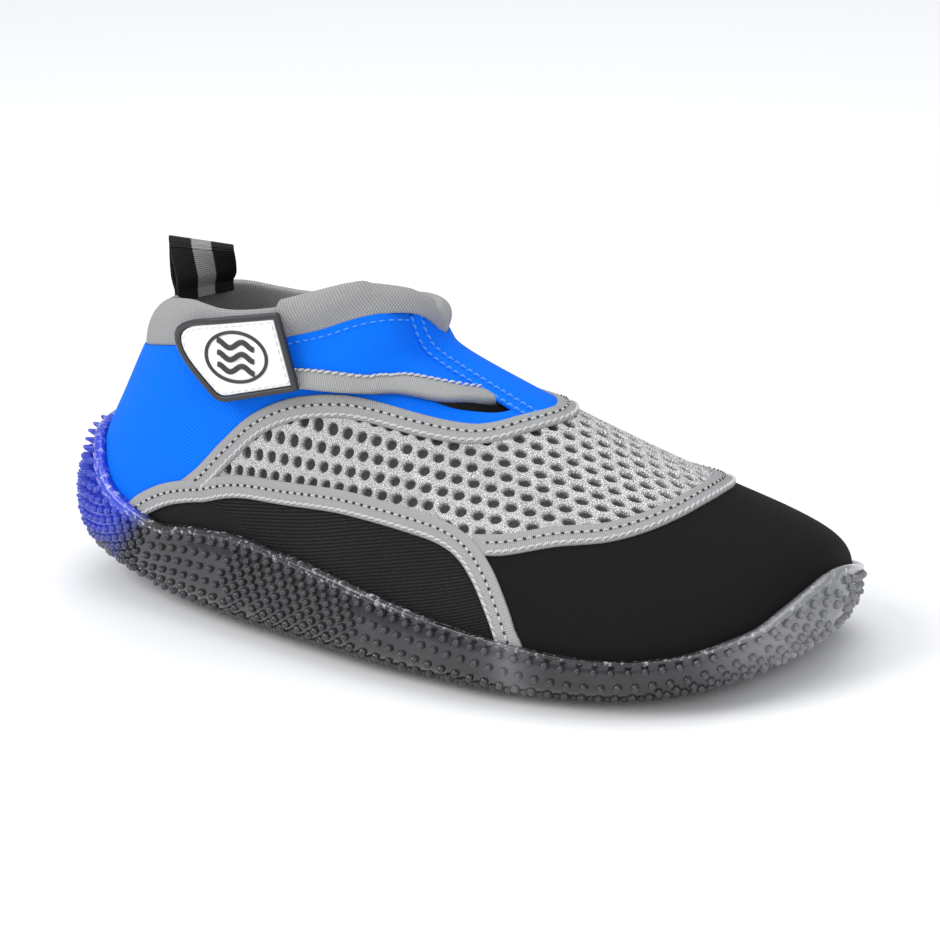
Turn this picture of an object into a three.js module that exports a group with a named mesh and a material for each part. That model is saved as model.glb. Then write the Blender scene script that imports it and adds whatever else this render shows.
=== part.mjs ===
import * as THREE from 'three'
import { mergeVertices } from 'three/addons/utils/BufferGeometryUtils.js'

// A low-cut water shoe for the right foot: neoprene and air-mesh panels joined under woven
// tapes, a strap flap that closes over a slit in the outer quarter, and a clear nubbed outsole.
// Millimetres. +X points to the toe, -Y to the outer side, +Z up, and the sole stands on z = 0.

// Points closer than this are the same point
const mergeDistance = 0.01

// Sizes of the last that the upper is shaped on
const upperLength = 239
const ballWidth = 95
const collarHeight = 97

// Material thicknesses, and the clearances between layers
const panelThickness = 2.4
const meshThickness = 1.3
const backingThickness = 0.6
const tapeThickness = 1
const tapeWidth = 6.6
const layerGap = 0.5
const seamGap = 0.9

// Outsole
const wallThickness = 2.7
const treadThickness = 3.6
const soleGap = 0.8

// Inside the shoe
const boardThickness = 1.4
const insoleThickness = 4
const insoleInset = 1
const insideGap = 0.6

// Collar, strap, badge and pull loop
const collarWidth = 14
const collarThickness = 4.2
const collarRise = 0.9
const flapThickness = 2.4
const flapClearance = collarRise + layerGap
const flapCollarThickness = 3.4
const flapSeamTurn = 166
const flapClearTurn = 153
const flapCollarEnd = [9.62, 151]
const bindingWidth = 5.5
const bindingWrap = 0.3
const hookThickness = 1
const hookInset = 2
const hookEndTurn = 114
const loopPatchTurns = [86, 112]
const hookBase = layerGap + hookThickness + layerGap
const badgeBase = flapClearance + flapThickness + tapeThickness + layerGap
const badgeThickness = 1.6
const badgeRimWidth = 2
const badgeRimRise = 0.9
const badgeFit = 0.3
const badgeCentre = [10.85, 110]
const emblemRadius = 7.2
const emblemStretch = 1.3
const emblemLine = 1.1
const emblemGap = 0.3
const emblemBase = badgeBase + badgeThickness + emblemGap
const emblemRise = 0.7
const waveSpacing = 3.4
const waveHeight = 0.9
const badgeHub = 9
const emblemSides = 24
const waveReach = 0.52
const waveTurns = 0.75
const loopWidth = 20
const loopHeight = 14
const loopGap = 4.8
const loopNeck = 3.2
const webbingThickness = 1.2
const loopClearance = 1.6
const loopInset = 5
const loopShift = 3

// Where the sole's wall turns into its tread, in degrees from the sole's centre
const treadTurn = 40
const wallTurn = 65

// Distances by which rows stop short of a point where they would all meet
const toeBoxEnds = 5
const meshEnds = 4
const sideEnds = 4
const boardEnds = 3
const insoleEnds = 4
const soleEnds = [2, 0.6]

// Sections of the last at its pattern size, from the toe tip to above the collar. Each lies in a
// plane that runs from the section's bottom (or back) point to its top (or front) point:
// bottom x, z, top x, z, half width, place of the widest line, squareness below it,
// narrowing above it, and how far the bottom and the top stand to the inner side.
const patternLength = 239
const patternWidth = 95
const patternHeight = 97
const sections = [
  [111, 21, 111, 21, 0, 0.46, 2.2, 0, 13, 13],
  [106, 12.8, 106, 33, 18.5, 0.45, 2.4, 0.1, 12, 12.5],
  [101, 9.2, 99, 38.8, 32, 0.41, 3, 0.16, 11, 11],
  [91, 6.2, 83, 45.2, 42.2, 0.34, 3.9, 0.23, 7.5, 9.5],
  [70, 4.2, 61.5, 52.7, 47.5, 0.29, 4.4, 0.28, 0.5, 8.5],
  [38, 4, 38, 61.2, 47.5, 0.27, 4.6, 0.28, -6, 8],
  [2, 4, 15, 70.3, 43.5, 0.27, 4.6, 0.28, -9, 7.5],
  [-33, 4, -7, 80.3, 38.8, 0.29, 4.4, 0.28, -9, 6],
  [-67, 4, -12, 85.5, 36, 0.33, 4, 0.2, -6.5, 5.5],
  [-99, 6, -14, 93.8, 34.1, 0.37, 3.4, 0.05, -3.2, 5],
  [-126.5, 14.6, -18.5, 103.2, 32.3, 0.4, 2.7, 0, -0.5, 4.3],
  [-127.5, 36.2, -19.5, 109.7, 30.9, 0.43, 2.1, 0, 1, 3.8],
  [-118.5, 56.8, -20.5, 115.5, 29, 0.46, 2, 0, 2, 3.6],
  [-107.5, 77, -21.5, 121.5, 27.5, 0.48, 2, 0, 2.5, 3.5],
  [-94, 95, -23, 128.5, 26.5, 0.48, 2, 0, 2, 3.3]
]

// The last's surface: station counts sections from the toe, and turn goes round a section in
// degrees from the sole's centre, over the outer side at 90 to the instep ridge at 180. A station
// below zero counts on past the toe tip.

function gradedSections () {
  const length = upperLength / patternLength
  const width = ballWidth / patternWidth
  const height = collarHeight / patternHeight
  const grades = [length, height, length, height, width, 1, 1, 1, width, width]
  const rows = sections.map(row => row.map((value, i) => value * grades[i]))
  const first = rows[1]
  // The row before the toe tip mirrors the one after it, so the toe closes in a round cap.
  const before = [first[2], first[3], first[0], first[1], -first[4],
    first[5], first[6], first[7], first[9], first[8]]
  const last = rows[rows.length - 1]
  const after = last.map((value, i) => 2 * value - rows[rows.length - 2][i])
  return [before, ...rows, after]
}

const last = gradedSections()

function catmullRom (a, b, c, d, t) {
  const slope = c - a
  const bend = 2 * a - 5 * b + 4 * c - d
  const twist = 3 * b - a - 3 * c + d
  return 0.5 * (2 * b + slope * t + bend * t * t + twist * t * t * t)
}

function sectionAt (station) {
  const top = last.length - 3
  const place = Math.min(Math.max(station, 0), top - 1e-9)
  const i = Math.floor(place)
  const t = place - i
  return last[i].map((value, n) => catmullRom(value, last[i + 1][n], last[i + 2][n], last[i + 3][n], t))
}

function surfacePoint (station, turn) {
  if (station < 0) return surfacePoint(-station, turn + 180)
  const [bottomX, bottomZ, topX, topZ, half, widest, square, narrow, bottomY, topY] = sectionAt(station)
  const angle = THREE.MathUtils.degToRad(turn)
  const c = Math.cos(angle)
  const s = Math.sin(angle)
  const reach = (Math.abs(c) ** square + Math.abs(s) ** square) ** (-1 / square)
  const side = c > 0 ? -half * reach * s : -half * s * (1 - narrow * c * c)
  const rise = c > 0 ? widest - widest * reach * c : widest - (1 - widest) * c
  return new THREE.Vector3(
    bottomX + (topX - bottomX) * rise,
    bottomY + (topY - bottomY) * rise + side,
    bottomZ + (topZ - bottomZ) * rise
  )
}

function surfaceNormal (station, turn) {
  const place = Math.max(station, 0.02)
  const alongIt = surfacePoint(place + 0.002, turn).sub(surfacePoint(place - 0.002, turn))
  const roundIt = surfacePoint(place, turn + 0.1).sub(surfacePoint(place, turn - 0.1))
  return roundIt.cross(alongIt).normalize()
}

function offsetPoint (station, turn, offset) {
  return surfacePoint(station, turn).addScaledVector(surfaceNormal(station, turn), offset)
}

// Lines on the last are lists of [station, turn], smoothed and measured along the surface.

function smoothLine (points) {
  const first = points[0].map((value, i) => 2 * value - points[1][i])
  const end = points[points.length - 1]
  const final = end.map((value, i) => 2 * value - points[points.length - 2][i])
  const all = [first, ...points, final]
  const steps = 8
  const line = []
  for (let i = 1; i < all.length - 2; i++) {
    for (let k = 0; k < steps; k++) {
      line.push([0, 1].map(n => catmullRom(all[i - 1][n], all[i][n], all[i + 1][n], all[i + 2][n], k / steps)))
    }
  }
  line.push(end)
  return line
}

function measured (line) {
  const lengths = [0]
  for (let i = 1; i < line.length; i++) {
    const step = surfacePoint(...line[i]).distanceTo(surfacePoint(...line[i - 1]))
    lengths.push(lengths[i - 1] + step)
  }
  return { line, lengths, total: lengths[lengths.length - 1] }
}

function placeAt (path, share) {
  const goal = THREE.MathUtils.clamp(share, 0, 1) * path.total
  let i = 1
  while (i < path.line.length - 1 && path.lengths[i] < goal) i++
  const span = path.lengths[i] - path.lengths[i - 1]
  const t = span > 0 ? (goal - path.lengths[i - 1]) / span : 0
  return [0, 1].map(n => path.line[i - 1][n] + (path.line[i][n] - path.line[i - 1][n]) * t)
}

function between (a, b, t) {
  return [a[0] + (b[0] - a[0]) * t, a[1] + (b[1] - a[1]) * t]
}

// A straight way over the toe tip, on the disc where station is the radius and turn the angle.
function acrossToe (a, b, t) {
  const flat = ([station, turn]) => {
    const angle = THREE.MathUtils.degToRad(turn)
    return [station * Math.cos(angle), station * Math.sin(angle)]
  }
  const [p, q] = between(flat(a), flat(b), t)
  return [Math.hypot(p, q), THREE.MathUtils.radToDeg(Math.atan2(q, p))]
}

// The inner side's copy of a line, counted on over the ridge or back under the sole
const innerSide = line => line.map(([station, turn]) => [station, 360 - turn])
const belowSole = line => line.map(([station, turn]) => [station, -turn])
const backwards = line => [...line].reverse()

// The place reached from another by a step in millimetres along the surface
function stepped ([station, turn], step) {
  const alongIt = surfacePoint(station + 0.01, turn).sub(surfacePoint(station - 0.01, turn)).divideScalar(0.02)
  const roundIt = surfacePoint(station, turn + 0.2).sub(surfacePoint(station, turn - 0.2)).divideScalar(0.4)
  const both = alongIt.dot(roundIt)
  const area = alongIt.lengthSq() * roundIt.lengthSq() - both * both
  const stations = (step.dot(alongIt) * roundIt.lengthSq() - step.dot(roundIt) * both) / area
  const turns = (step.dot(roundIt) * alongIt.lengthSq() - step.dot(alongIt) * both) / area
  return [station + stations, turn + turns]
}

// A line shifted square to itself along the surface by a distance in millimetres.
function shifted (line, distance) {
  return line.map((place, i) => {
    const ahead = line[Math.min(i + 1, line.length - 1)]
    const behind = line[Math.max(i - 1, 0)]
    const way = surfacePoint(...ahead).sub(surfacePoint(...behind))
    const side = surfaceNormal(...place).cross(way).normalize()
    return stepped(place, side.multiplyScalar(distance))
  })
}

// Solids: a grid of places on the last, given an inner and an outer face and joined at its rim.

function solidFromGrid (grid, inside, outside, { floor = -Infinity, closed = false } = {}) {
  const rows = grid.length
  const columns = grid[0].length
  const points = []
  const layer = offset => grid.map(row => row.map(place => {
    const amount = typeof offset === 'function' ? offset(...place) : offset
    const point = offsetPoint(...place, amount)
    point.z = Math.max(point.z, floor)
    return points.push(point) - 1
  }))
  const outer = layer(outside)
  const inner = layer(inside)
  const faces = []
  const quad = (a, b, c, d) => faces.push([a, b, c], [a, c, d])
  for (let i = 0; i < rows - 1; i++) {
    for (let j = 0; j < columns - 1; j++) {
      quad(outer[i][j], outer[i][j + 1], outer[i + 1][j + 1], outer[i + 1][j])
      quad(inner[i][j], inner[i + 1][j], inner[i + 1][j + 1], inner[i][j + 1])
    }
    quad(outer[i][0], outer[i + 1][0], inner[i + 1][0], inner[i][0])
    quad(outer[i + 1][columns - 1], outer[i][columns - 1], inner[i][columns - 1], inner[i + 1][columns - 1])
  }
  for (let j = 0; j < columns - 1 && !closed; j++) {
    quad(outer[0][j + 1], outer[0][j], inner[0][j], inner[0][j + 1])
    quad(outer[rows - 1][j], outer[rows - 1][j + 1], inner[rows - 1][j + 1], inner[rows - 1][j])
  }
  return closedGeometry(points, faces)
}

// Points that nearly touch become one, and faces left flat are dropped.
function closedGeometry (points, faces) {
  const positions = points.flatMap(point => point.toArray())
  const loose = new THREE.BufferGeometry()
  loose.setAttribute('position', new THREE.Float32BufferAttribute(positions, 3))
  loose.setIndex(faces.flat())
  const merged = mergeVertices(loose, mergeDistance)
  const index = Array.from(merged.index.array)
  const kept = []
  for (let i = 0; i < index.length; i += 3) {
    const [a, b, c] = index.slice(i, i + 3)
    if (a !== b && b !== c && c !== a) kept.push(a, b, c)
  }
  merged.setIndex(kept)
  return turnedOut(merged)
}

function turnedOut (geometry) {
  const corner = n => new THREE.Vector3().fromBufferAttribute(geometry.attributes.position, geometry.index.getX(n))
  let volume = 0
  for (let i = 0; i < geometry.index.count; i += 3) {
    volume += corner(i).dot(corner(i + 1).cross(corner(i + 2)))
  }
  if (volume < 0) {
    const index = Array.from(geometry.index.array)
    for (let i = 0; i < index.length; i += 3) [index[i], index[i + 1]] = [index[i + 1], index[i]]
    geometry.setIndex(index)
  }
  geometry.computeVertexNormals()
  return geometry
}

// A panel cut between two lines, with its edges drawn in by the given millimetres.
function panelGrid ({ low, high, along, across, trim = [seamGap / 2, seamGap / 2], ends = trim, way = between }) {
  const lowPath = measured(low)
  const highPath = measured(high)
  const length = Math.max(lowPath.total, highPath.total)
  const grid = []
  for (let i = 0; i <= along; i++) {
    const from = ends[0] / length
    const share = from + (1 - ends[1] / length - from) * i / along
    const a = placeAt(lowPath, share)
    const b = placeAt(highPath, share)
    const width = surfacePoint(...a).distanceTo(surfacePoint(...b))
    const row = []
    for (let j = 0; j <= across; j++) {
      const start = trim[0] / width
      row.push(way(a, b, start + (1 - trim[1] / width - start) * j / across))
    }
    grid.push(row)
  }
  return grid
}

function panel (shape, inside, outside) {
  return solidFromGrid(panelGrid(shape), inside, outside)
}

// A woven tape laid over the seam that it covers. Its two edges may start at different places.
function tape (lowLine, highLine, along) {
  const low = shifted(lowLine, -tapeWidth / 2)
  const high = shifted(highLine, tapeWidth / 2)
  const shape = { low, high, along, across: 2, trim: [0, 0], ends: [0, 0] }
  return panel(shape, layerGap, layerGap + tapeThickness)
}

// Lines of the pattern on the outer side. The inner side mirrors them.
const soleRim = smoothLine([
  [11.5, 0], [11.4, 18], [11.15, 36], [10.7, 51], [10.2, 61], [9.7, 66], [9.2, 69], [8.8, 77], [8, 88],
  [7, 91.5], [5.8, 91], [5, 88], [4.3, 83], [3.4, 80], [2.3, 84], [1.5, 92], [0.95, 110], [0.7, 140], [0.62, 180]
])
const soleCentre = smoothLine([
  [11.5, 0], [10.8, 0], [10.2, 0], [9.6, 0], [9, 0], [7, 0], [5, 0], [3, 0], [2, 0], [1.2, 0], [0.5, 0], [0, 0],
  [-0.3, 0], [-0.62, 0]
])
const feather = smoothLine([
  [10.35, 0], [10.2, 20], [9.8, 32], [9, 37], [7.5, 36], [5.5, 34], [4.5, 33], [3, 34], [1.8, 36], [1.1, 22], [1, 0]
])
const featherCentre = smoothLine([[10.35, 0], [10, 0], [9, 0], [7, 0], [5, 0], [3, 0], [2, 0], [1, 0]])
const collarRimOuter = smoothLine([
  [11.25, 127], [11.7, 116], [12.3, 99], [12.85, 82], [13.2, 66], [13.35, 45], [13.38, 20], [13.4, 0]
])
const collarRimInner = smoothLine([
  [13.4, 0], [13.36, -20], [13.05, -45], [12.5, -69], [11.85, -91], [11.2, -112], [10.6, -131], [9.95, -149],
  [9.35, -164], [8.95, -176], [8.9, -186], [9, -191.5]
])
const quarterSeam = smoothLine([
  [9.55, 66], [9.5, 72], [9.35, 84], [9.3, 93], [9.33, 102], [9.3, 112], [8.95, 122], [8.1, 132],
  [6.9, 138], [6.25, 144], [5.9, 151], [5.65, 162], [5.5, 172], [5.45, 180]
])
const sideSeam = smoothLine([
  [9.62, 62], [9.6, 70], [9.45, 80], [9.1, 91], [8.7, 98], [8, 104], [7.4, 108], [6.7, 112], [6.2, 114.5],
  [5.8, 115.5], [5.5, 114], [5.25, 109.5], [5.05, 103], [4.88, 94], [4.78, 82], [4.72, 60], [4.7, 34]
])
const toeSeam = smoothLine([
  [5.45, 116], [5.1, 120], [4.65, 128], [4.15, 136], [3.8, 146], [3.58, 158], [3.48, 170], [3.45, 180]
])
const slitEdge = smoothLine([
  [10.4, 126], [9.7, 138], [8.6, 145], [7.2, 148.5], [6.55, 150.5], [6.2, 155.5], [6, 160.5], [5.9, 166]
])
const flapLow = smoothLine([
  [9.75, 116], [9.3, 124], [8.6, 132], [7.9, 138.5], [7, 145.5], [6.55, 150.5], [6.27, 158], [6.1, 166]
])
const flapHigh = smoothLine([[10.9, 116], [10.5, 127], [10, 138], [9.67, 149], [9.27, 159.5], [8.75, 166]])
const flapRim = smoothLine([[12.1, 114], [11.75, 122], [11.4, 134], [11.05, 145], [10.75, 152.5]])
const badgeHigh = smoothLine([[12.45, 83], [12.15, 93], [11.8, 107], [11.3, 123.5]])
const badgeLow = smoothLine([
  [12.1, 80.5], [11.5, 89.5], [10.9, 98.5], [10.4, 105.5], [10.05, 109.5], [9.75, 113.5], [9.15, 125]
])

// Places where lines meet or a piece stops short of another
const meshTip = [9.37, 83]
const sideTip = [9.8, 32]
const vampSeamTurn = 168.5
const slitTop = [10.4, 126]
const collarLowFront = smoothLine([[8.1, -163], [7.75, -173], [7.8, -183], [8.2, -191.5]])
const flapApex = [6.35, flapSeamTurn]
const tapeStarts = [[9.33, 99.5], [9.3, 92]]
const toeTapeStart = [5.1, 120]
const sideTapeEnds = [[9.55, 75], [4.86, 92.5]]

function nearestOn (line, place) {
  const target = surfacePoint(...place)
  const gaps = line.map(point => surfacePoint(...point).distanceTo(target))
  return gaps.indexOf(Math.min(...gaps))
}

const upTo = (line, place) => line.slice(0, nearestOn(line, place) + 1)
const startingAt = (line, place) => line.slice(nearestOn(line, place))
const overRidge = line => [...line, ...backwards(innerSide(line)).slice(1)]
const collarLowOuter = [slitTop, ...shifted(collarRimOuter, collarWidth).filter(([, turn]) => turn < slitTop[1] - 2)]
const collarLowInner = [
  ...shifted(collarRimInner, collarWidth).filter(([, turn]) => turn > collarLowFront[0][1] + 5), ...collarLowFront
]

// Upper panels

function toeBox () {
  const lowSide = startingAt(feather, sideSeam[sideSeam.length - 1])
  const low = [...lowSide, ...backwards(belowSole(lowSide)).slice(1)]
  const sideFront = backwards(startingAt(sideSeam, toeSeam[0]))
  const high = overRidge([...sideFront, ...toeSeam])
  const shape = { low, high, along: 28, across: 10, ends: [toeBoxEnds, toeBoxEnds] }
  return panel({ ...shape, way: acrossToe }, -panelThickness, 0)
}

function meshShape () {
  const low = [meshTip, ...upTo(startingAt(sideSeam, meshTip), toeSeam[0]), ...toeSeam]
  const high = startingAt(quarterSeam, meshTip)
  return { low: overRidge(low), high: overRidge(high), along: 32, across: 4, ends: [meshEnds, meshEnds] }
}

function mirroredShape (shape) {
  return { ...shape, low: innerSide(shape.low), high: innerSide(shape.high) }
}

function sidePanelShape () {
  const low = upTo(startingAt(feather, sideTip), sideSeam[sideSeam.length - 1])
  return { low, high: sideSeam, along: 20, across: 5, ends: [seamGap / 2, sideEnds] }
}

function quarterLow () {
  return [...upTo(feather, sideTip), ...upTo(sideSeam, meshTip), ...startingAt(quarterSeam, meshTip).slice(1)]
}

function outerQuarterShape () {
  const low = upTo(quarterLow(), [5.6, 166])
  const high = [...backwards(collarLowOuter), ...slitEdge.slice(1)]
  return { low, high, along: 24, across: 6 }
}

function innerQuarterShape () {
  const pastRidge = startingAt(backwards(quarterSeam), [5.45, 180]).filter(([, turn]) => turn > vampSeamTurn)
  const low = [...belowSole(quarterLow()), ...pastRidge.slice(1).map(([station, turn]) => [station, turn - 360])]
  return { low, high: collarLowInner, along: 36, across: 6, ends: [seamGap / 2, seamGap] }
}

// The folded neoprene band round the foot opening, from the slit round the heel to the strap's seam
function collarShape () {
  const high = [...collarRimOuter, ...collarRimInner.slice(1)]
  const trimmed = [seamGap / 2, 0]
  const low = [...collarLowOuter, ...collarLowInner.slice(1)]
  return { low, high, along: 44, across: 2, trim: trimmed, ends: [seamGap, seamGap] }
}

// Strap: over the slit it stands clear of the quarter, and at its seam it lies level with the vamp.

function flapBase (station, turn) {
  const share = THREE.MathUtils.smoothstep(flapSeamTurn - turn, 0, flapSeamTurn - flapClearTurn)
  return THREE.MathUtils.lerp(-panelThickness, flapClearance, share)
}

const flapTop = (station, turn) => flapBase(station, turn) + flapThickness
const bindingBase = (station, turn) => flapBase(station, turn) - bindingWrap
const bindingTop = (station, turn) => flapTop(station, turn) + tapeThickness

const bindingHigh = [...shifted(flapLow, bindingWidth).filter(([, turn]) => turn < flapApex[1] - 1), flapApex]

function flapShape () {
  return { low: bindingHigh, high: flapHigh, along: 14, across: 4, trim: [seamGap / 2, seamGap / 2], ends: [0, 0] }
}

function bindingShape () {
  return { low: flapLow, high: bindingHigh, along: 16, across: 1, trim: [0, seamGap / 2], ends: [0, 0] }
}

function flapCollarShape () {
  const low = upTo(flapHigh, flapCollarEnd)
  return { low, high: flapRim, along: 10, across: 2, trim: [seamGap / 2, 0], ends: [0, 0] }
}

// Closure tab: a moulded rubber badge on a hook patch, which grips a loop patch on the quarter.

function hookShape () {
  const before = line => line.filter(([, turn]) => turn < hookEndTurn)
  const low = shifted(before(badgeLow), hookInset)
  const high = shifted(before(badgeHigh), -hookInset)
  return { low, high, along: 8, across: 3, trim: [0, 0], ends: [hookInset, 0] }
}

// The loop patch ends below the collar's band.
function loopPatchShape () {
  const within = line => line.filter(([, turn]) => turn > loopPatchTurns[0] && turn < loopPatchTurns[1])
  const low = shifted(within(badgeLow), hookInset)
  const high = shifted(backwards(within(collarLowOuter)), -hookInset)
  return { low, high, along: 8, across: 2, trim: [0, 0], ends: [0, 0] }
}

// The badge's outline, walked round once, drawn in towards its centre by the given millimetres
function badgeRing (insets, rows) {
  const outline = [...badgeLow, ...backwards(badgeHigh)]
  const edge = measured([...outline, outline[0]])
  const centre = surfacePoint(...badgeCentre)
  const grid = []
  for (let i = 0; i <= rows; i++) {
    const place = placeAt(edge, (i % rows) / rows)
    const reach = surfacePoint(...place).distanceTo(centre)
    grid.push(insets.map(inset => between(place, badgeCentre, Math.min(inset / reach, 1))))
  }
  return grid
}

function badge () {
  const grid = badgeRing([Infinity, badgeHub, badgeRimWidth + badgeFit], 30)
  return solidFromGrid(grid, badgeBase, badgeBase + badgeThickness, { closed: true })
}

function badgeRim () {
  const top = badgeBase + badgeThickness + badgeRimRise
  return solidFromGrid(badgeRing([badgeRimWidth, 0], 30), badgeBase, top, { closed: true })
}

// A place on the last that lies across and up from the badge's centre by the given millimetres
function onBadge (across, up) {
  const outward = surfaceNormal(...badgeCentre)
  const level = new THREE.Vector3(0, 0, 1).cross(outward).normalize()
  const upward = outward.clone().cross(level)
  return stepped(badgeCentre, level.multiplyScalar(across).addScaledVector(upward, up))
}

function emblemRing () {
  const grid = []
  for (let i = 0; i <= emblemSides; i++) {
    const angle = 2 * Math.PI * (i % emblemSides) / emblemSides
    grid.push([emblemRadius - emblemLine, emblemRadius].map(radius =>
      onBadge(radius * Math.cos(angle) * emblemStretch, radius * Math.sin(angle))))
  }
  return solidFromGrid(grid, emblemBase, emblemBase + emblemRise, { closed: true })
}

function emblemWave (height) {
  const rows = emblemSides / 2
  const reach = emblemRadius * waveReach
  const grid = []
  for (let i = 0; i <= rows; i++) {
    const across = reach * (2 * i / rows - 1)
    const middle = height + waveHeight * Math.sin(across / reach * 2 * Math.PI * waveTurns)
    const half = emblemLine / 2
    grid.push([onBadge(across * emblemStretch, middle - half), onBadge(across * emblemStretch, middle + half)])
  }
  return solidFromGrid(grid, emblemBase, emblemBase + emblemRise)
}

// Sole pieces: rows run from the outer edge to the inner, round the toe tip without a fold.

function acrossSole (edge, middle, t) {
  const angle = THREE.MathUtils.degToRad(edge[1])
  const p = edge[0] * Math.cos(angle)
  const q = edge[0] * Math.sin(angle)
  const m = middle[1] === 0 ? middle[0] : -middle[0]
  if (q < 1e-6) return edge
  const centre = (p * p + q * q - m * m) / (2 * (p - m))
  const radius = Math.abs(m - centre)
  const way = Math.sign(m - centre)
  const spread = Math.atan2(q, way * (p - centre)) * (1 - 2 * t)
  const x = centre + way * radius * Math.cos(spread)
  const y = radius * Math.sin(spread)
  return [Math.hypot(x, y), THREE.MathUtils.radToDeg(Math.atan2(y, x))]
}

function soleGrid ({ edge, centre, along, across, ends, drawIn = 0 }) {
  const edgePath = measured(edge)
  const centrePath = measured(centre)
  const grid = []
  for (let i = 0; i <= along; i++) {
    const first = ends[0] / edgePath.total
    const share = first + (1 - ends[1] / edgePath.total - first) * i / along
    const outer = placeAt(edgePath, share)
    const middle = placeAt(centrePath, share)
    const width = 2 * surfacePoint(...outer).distanceTo(surfacePoint(...middle))
    const row = []
    for (let j = 0; j <= across; j++) {
      row.push(acrossSole(outer, middle, drawIn / width + (1 - 2 * drawIn / width) * j / across))
    }
    grid.push(row)
  }
  return grid
}

function outsole () {
  const grid = soleGrid({ edge: soleRim, centre: soleCentre, along: 36, across: 16, ends: soleEnds })
  const outside = (station, turn) => {
    const share = THREE.MathUtils.smoothstep(Math.abs(turn), treadTurn, wallTurn)
    return soleGap + THREE.MathUtils.lerp(treadThickness, wallThickness, share)
  }
  return solidFromGrid(grid, soleGap, outside, { floor: 0 })
}

function lastingBoard () {
  const ends = [boardEnds, boardEnds]
  const shape = { edge: feather, centre: featherCentre, along: 20, across: 4, ends, drawIn: seamGap / 2 }
  return solidFromGrid(soleGrid(shape), -boardThickness, 0)
}

function insole () {
  const ends = [insoleEnds, insoleEnds]
  const shape = { edge: feather, centre: featherCentre, along: 20, across: 4, ends, drawIn: insoleInset }
  const top = -panelThickness - insideGap
  return solidFromGrid(soleGrid(shape), top - insoleThickness, top)
}

// A ribbon folded into a loop and sewn into the heel's collar. Its two layers part above the neck.
function pullLoop () {
  const gap = loopGap / 2
  const half = gap + webbingThickness
  const bend = loopHeight - half
  const outer = new THREE.Shape()
  outer.moveTo(-webbingThickness, 0)
  outer.lineTo(webbingThickness, 0)
  outer.lineTo(half, loopNeck)
  outer.lineTo(half, bend)
  outer.absarc(0, bend, half, 0, Math.PI)
  outer.lineTo(-half, loopNeck)
  const hole = new THREE.Path()
  hole.moveTo(0, loopNeck / 2)
  hole.lineTo(gap, loopNeck + webbingThickness / 2)
  hole.lineTo(gap, bend)
  hole.absarc(0, bend, gap, 0, Math.PI)
  hole.lineTo(-gap, loopNeck + webbingThickness / 2)
  outer.holes.push(hole)
  const loop = new THREE.ExtrudeGeometry(outer, { depth: loopWidth, bevelEnabled: false, curveSegments: 5 })
  loop.translate(0, 0, -loopWidth / 2)
  loop.rotateX(Math.PI / 2)
  const rim = surfacePoint(...collarRimOuter[collarRimOuter.length - 1])
  loop.translate(rim.x + loopInset, rim.y + loopShift, rim.z + loopClearance)
  loop.deleteAttribute('normal')
  loop.deleteAttribute('uv')
  return mergeVertices(loop, mergeDistance)
}

// Materials: colour, roughness, and the meshes that use them

const finishes = {
  blueNeoprene: { color: 0x0a7cf5, roughness: 0.85 },
  blackNeoprene: { color: 0x1b1b1c, roughness: 0.9 },
  greyNeoprene: { color: 0x8f9092, roughness: 0.9 },
  greyTape: { color: 0xa2a3a5, roughness: 0.7 },
  airMesh: { color: 0xc6c7c9, roughness: 0.8 },
  darkNet: { color: 0x2a2a2c, roughness: 0.9 },
  clearSole: { color: 0x5a5b60, roughness: 0.25 },
  foam: { color: 0x2b2c30, roughness: 0.95 },
  board: { color: 0xb8b4aa, roughness: 0.9 },
  whiteRubber: { color: 0xf4f4f2, roughness: 0.5 },
  blackRubber: { color: 0x2c2c2e, roughness: 0.5 },
  hookAndLoop: { color: 0x1f3f9c, roughness: 0.95 },
  webbing: { color: 0x151515, roughness: 0.8 }
}

const shoe = new THREE.Group()

function add (name, geometry, finish) {
  geometry.computeVertexNormals()
  const mesh = new THREE.Mesh(geometry, new THREE.MeshStandardMaterial({ metalness: 0, ...finishes[finish] }))
  mesh.name = name
  shoe.add(mesh)
}

const panelDepth = [-panelThickness, 0]
const sideTape = upTo(startingAt(sideSeam, sideTapeEnds[0]), sideTapeEnds[1])
const toeTapeLine = overRidge(startingAt(toeSeam, toeTapeStart))
const meshTapeLines = tapeStarts.map(place => overRidge(startingAt(quarterSeam, place)))

add('outsole', outsole(), 'clearSole')
add('lasting_board', lastingBoard(), 'board')
add('insole', insole(), 'foam')
add('toe_box', toeBox(), 'blackNeoprene')
add('mesh_panel', panel(meshShape(), -meshThickness, 0), 'airMesh')
add('mesh_backing', panel(meshShape(), -meshThickness - layerGap - backingThickness, -meshThickness - layerGap), 'darkNet')
add('side_panel_outer', panel(sidePanelShape(), ...panelDepth), 'blackNeoprene')
add('side_panel_inner', panel(mirroredShape(sidePanelShape()), ...panelDepth), 'blackNeoprene')
add('quarter_outer', panel(outerQuarterShape(), ...panelDepth), 'blueNeoprene')
add('quarter_inner', panel(innerQuarterShape(), ...panelDepth), 'blueNeoprene')
add('collar', panel(collarShape(), -collarThickness + collarRise, collarRise), 'greyNeoprene')
add('mesh_tape', tape(...meshTapeLines, 32), 'greyTape')
add('toe_tape', tape(toeTapeLine, toeTapeLine, 22), 'greyTape')
add('side_tape_outer', tape(sideTape, sideTape, 22), 'greyTape')
add('side_tape_inner', tape(innerSide(sideTape), innerSide(sideTape), 22), 'greyTape')
add('flap', panel(flapShape(), flapBase, flapTop), 'blueNeoprene')
add('flap_binding', panel(bindingShape(), bindingBase, bindingTop), 'greyTape')
add('flap_collar', panel(flapCollarShape(), flapClearance, flapClearance + flapCollarThickness), 'greyNeoprene')
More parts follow.
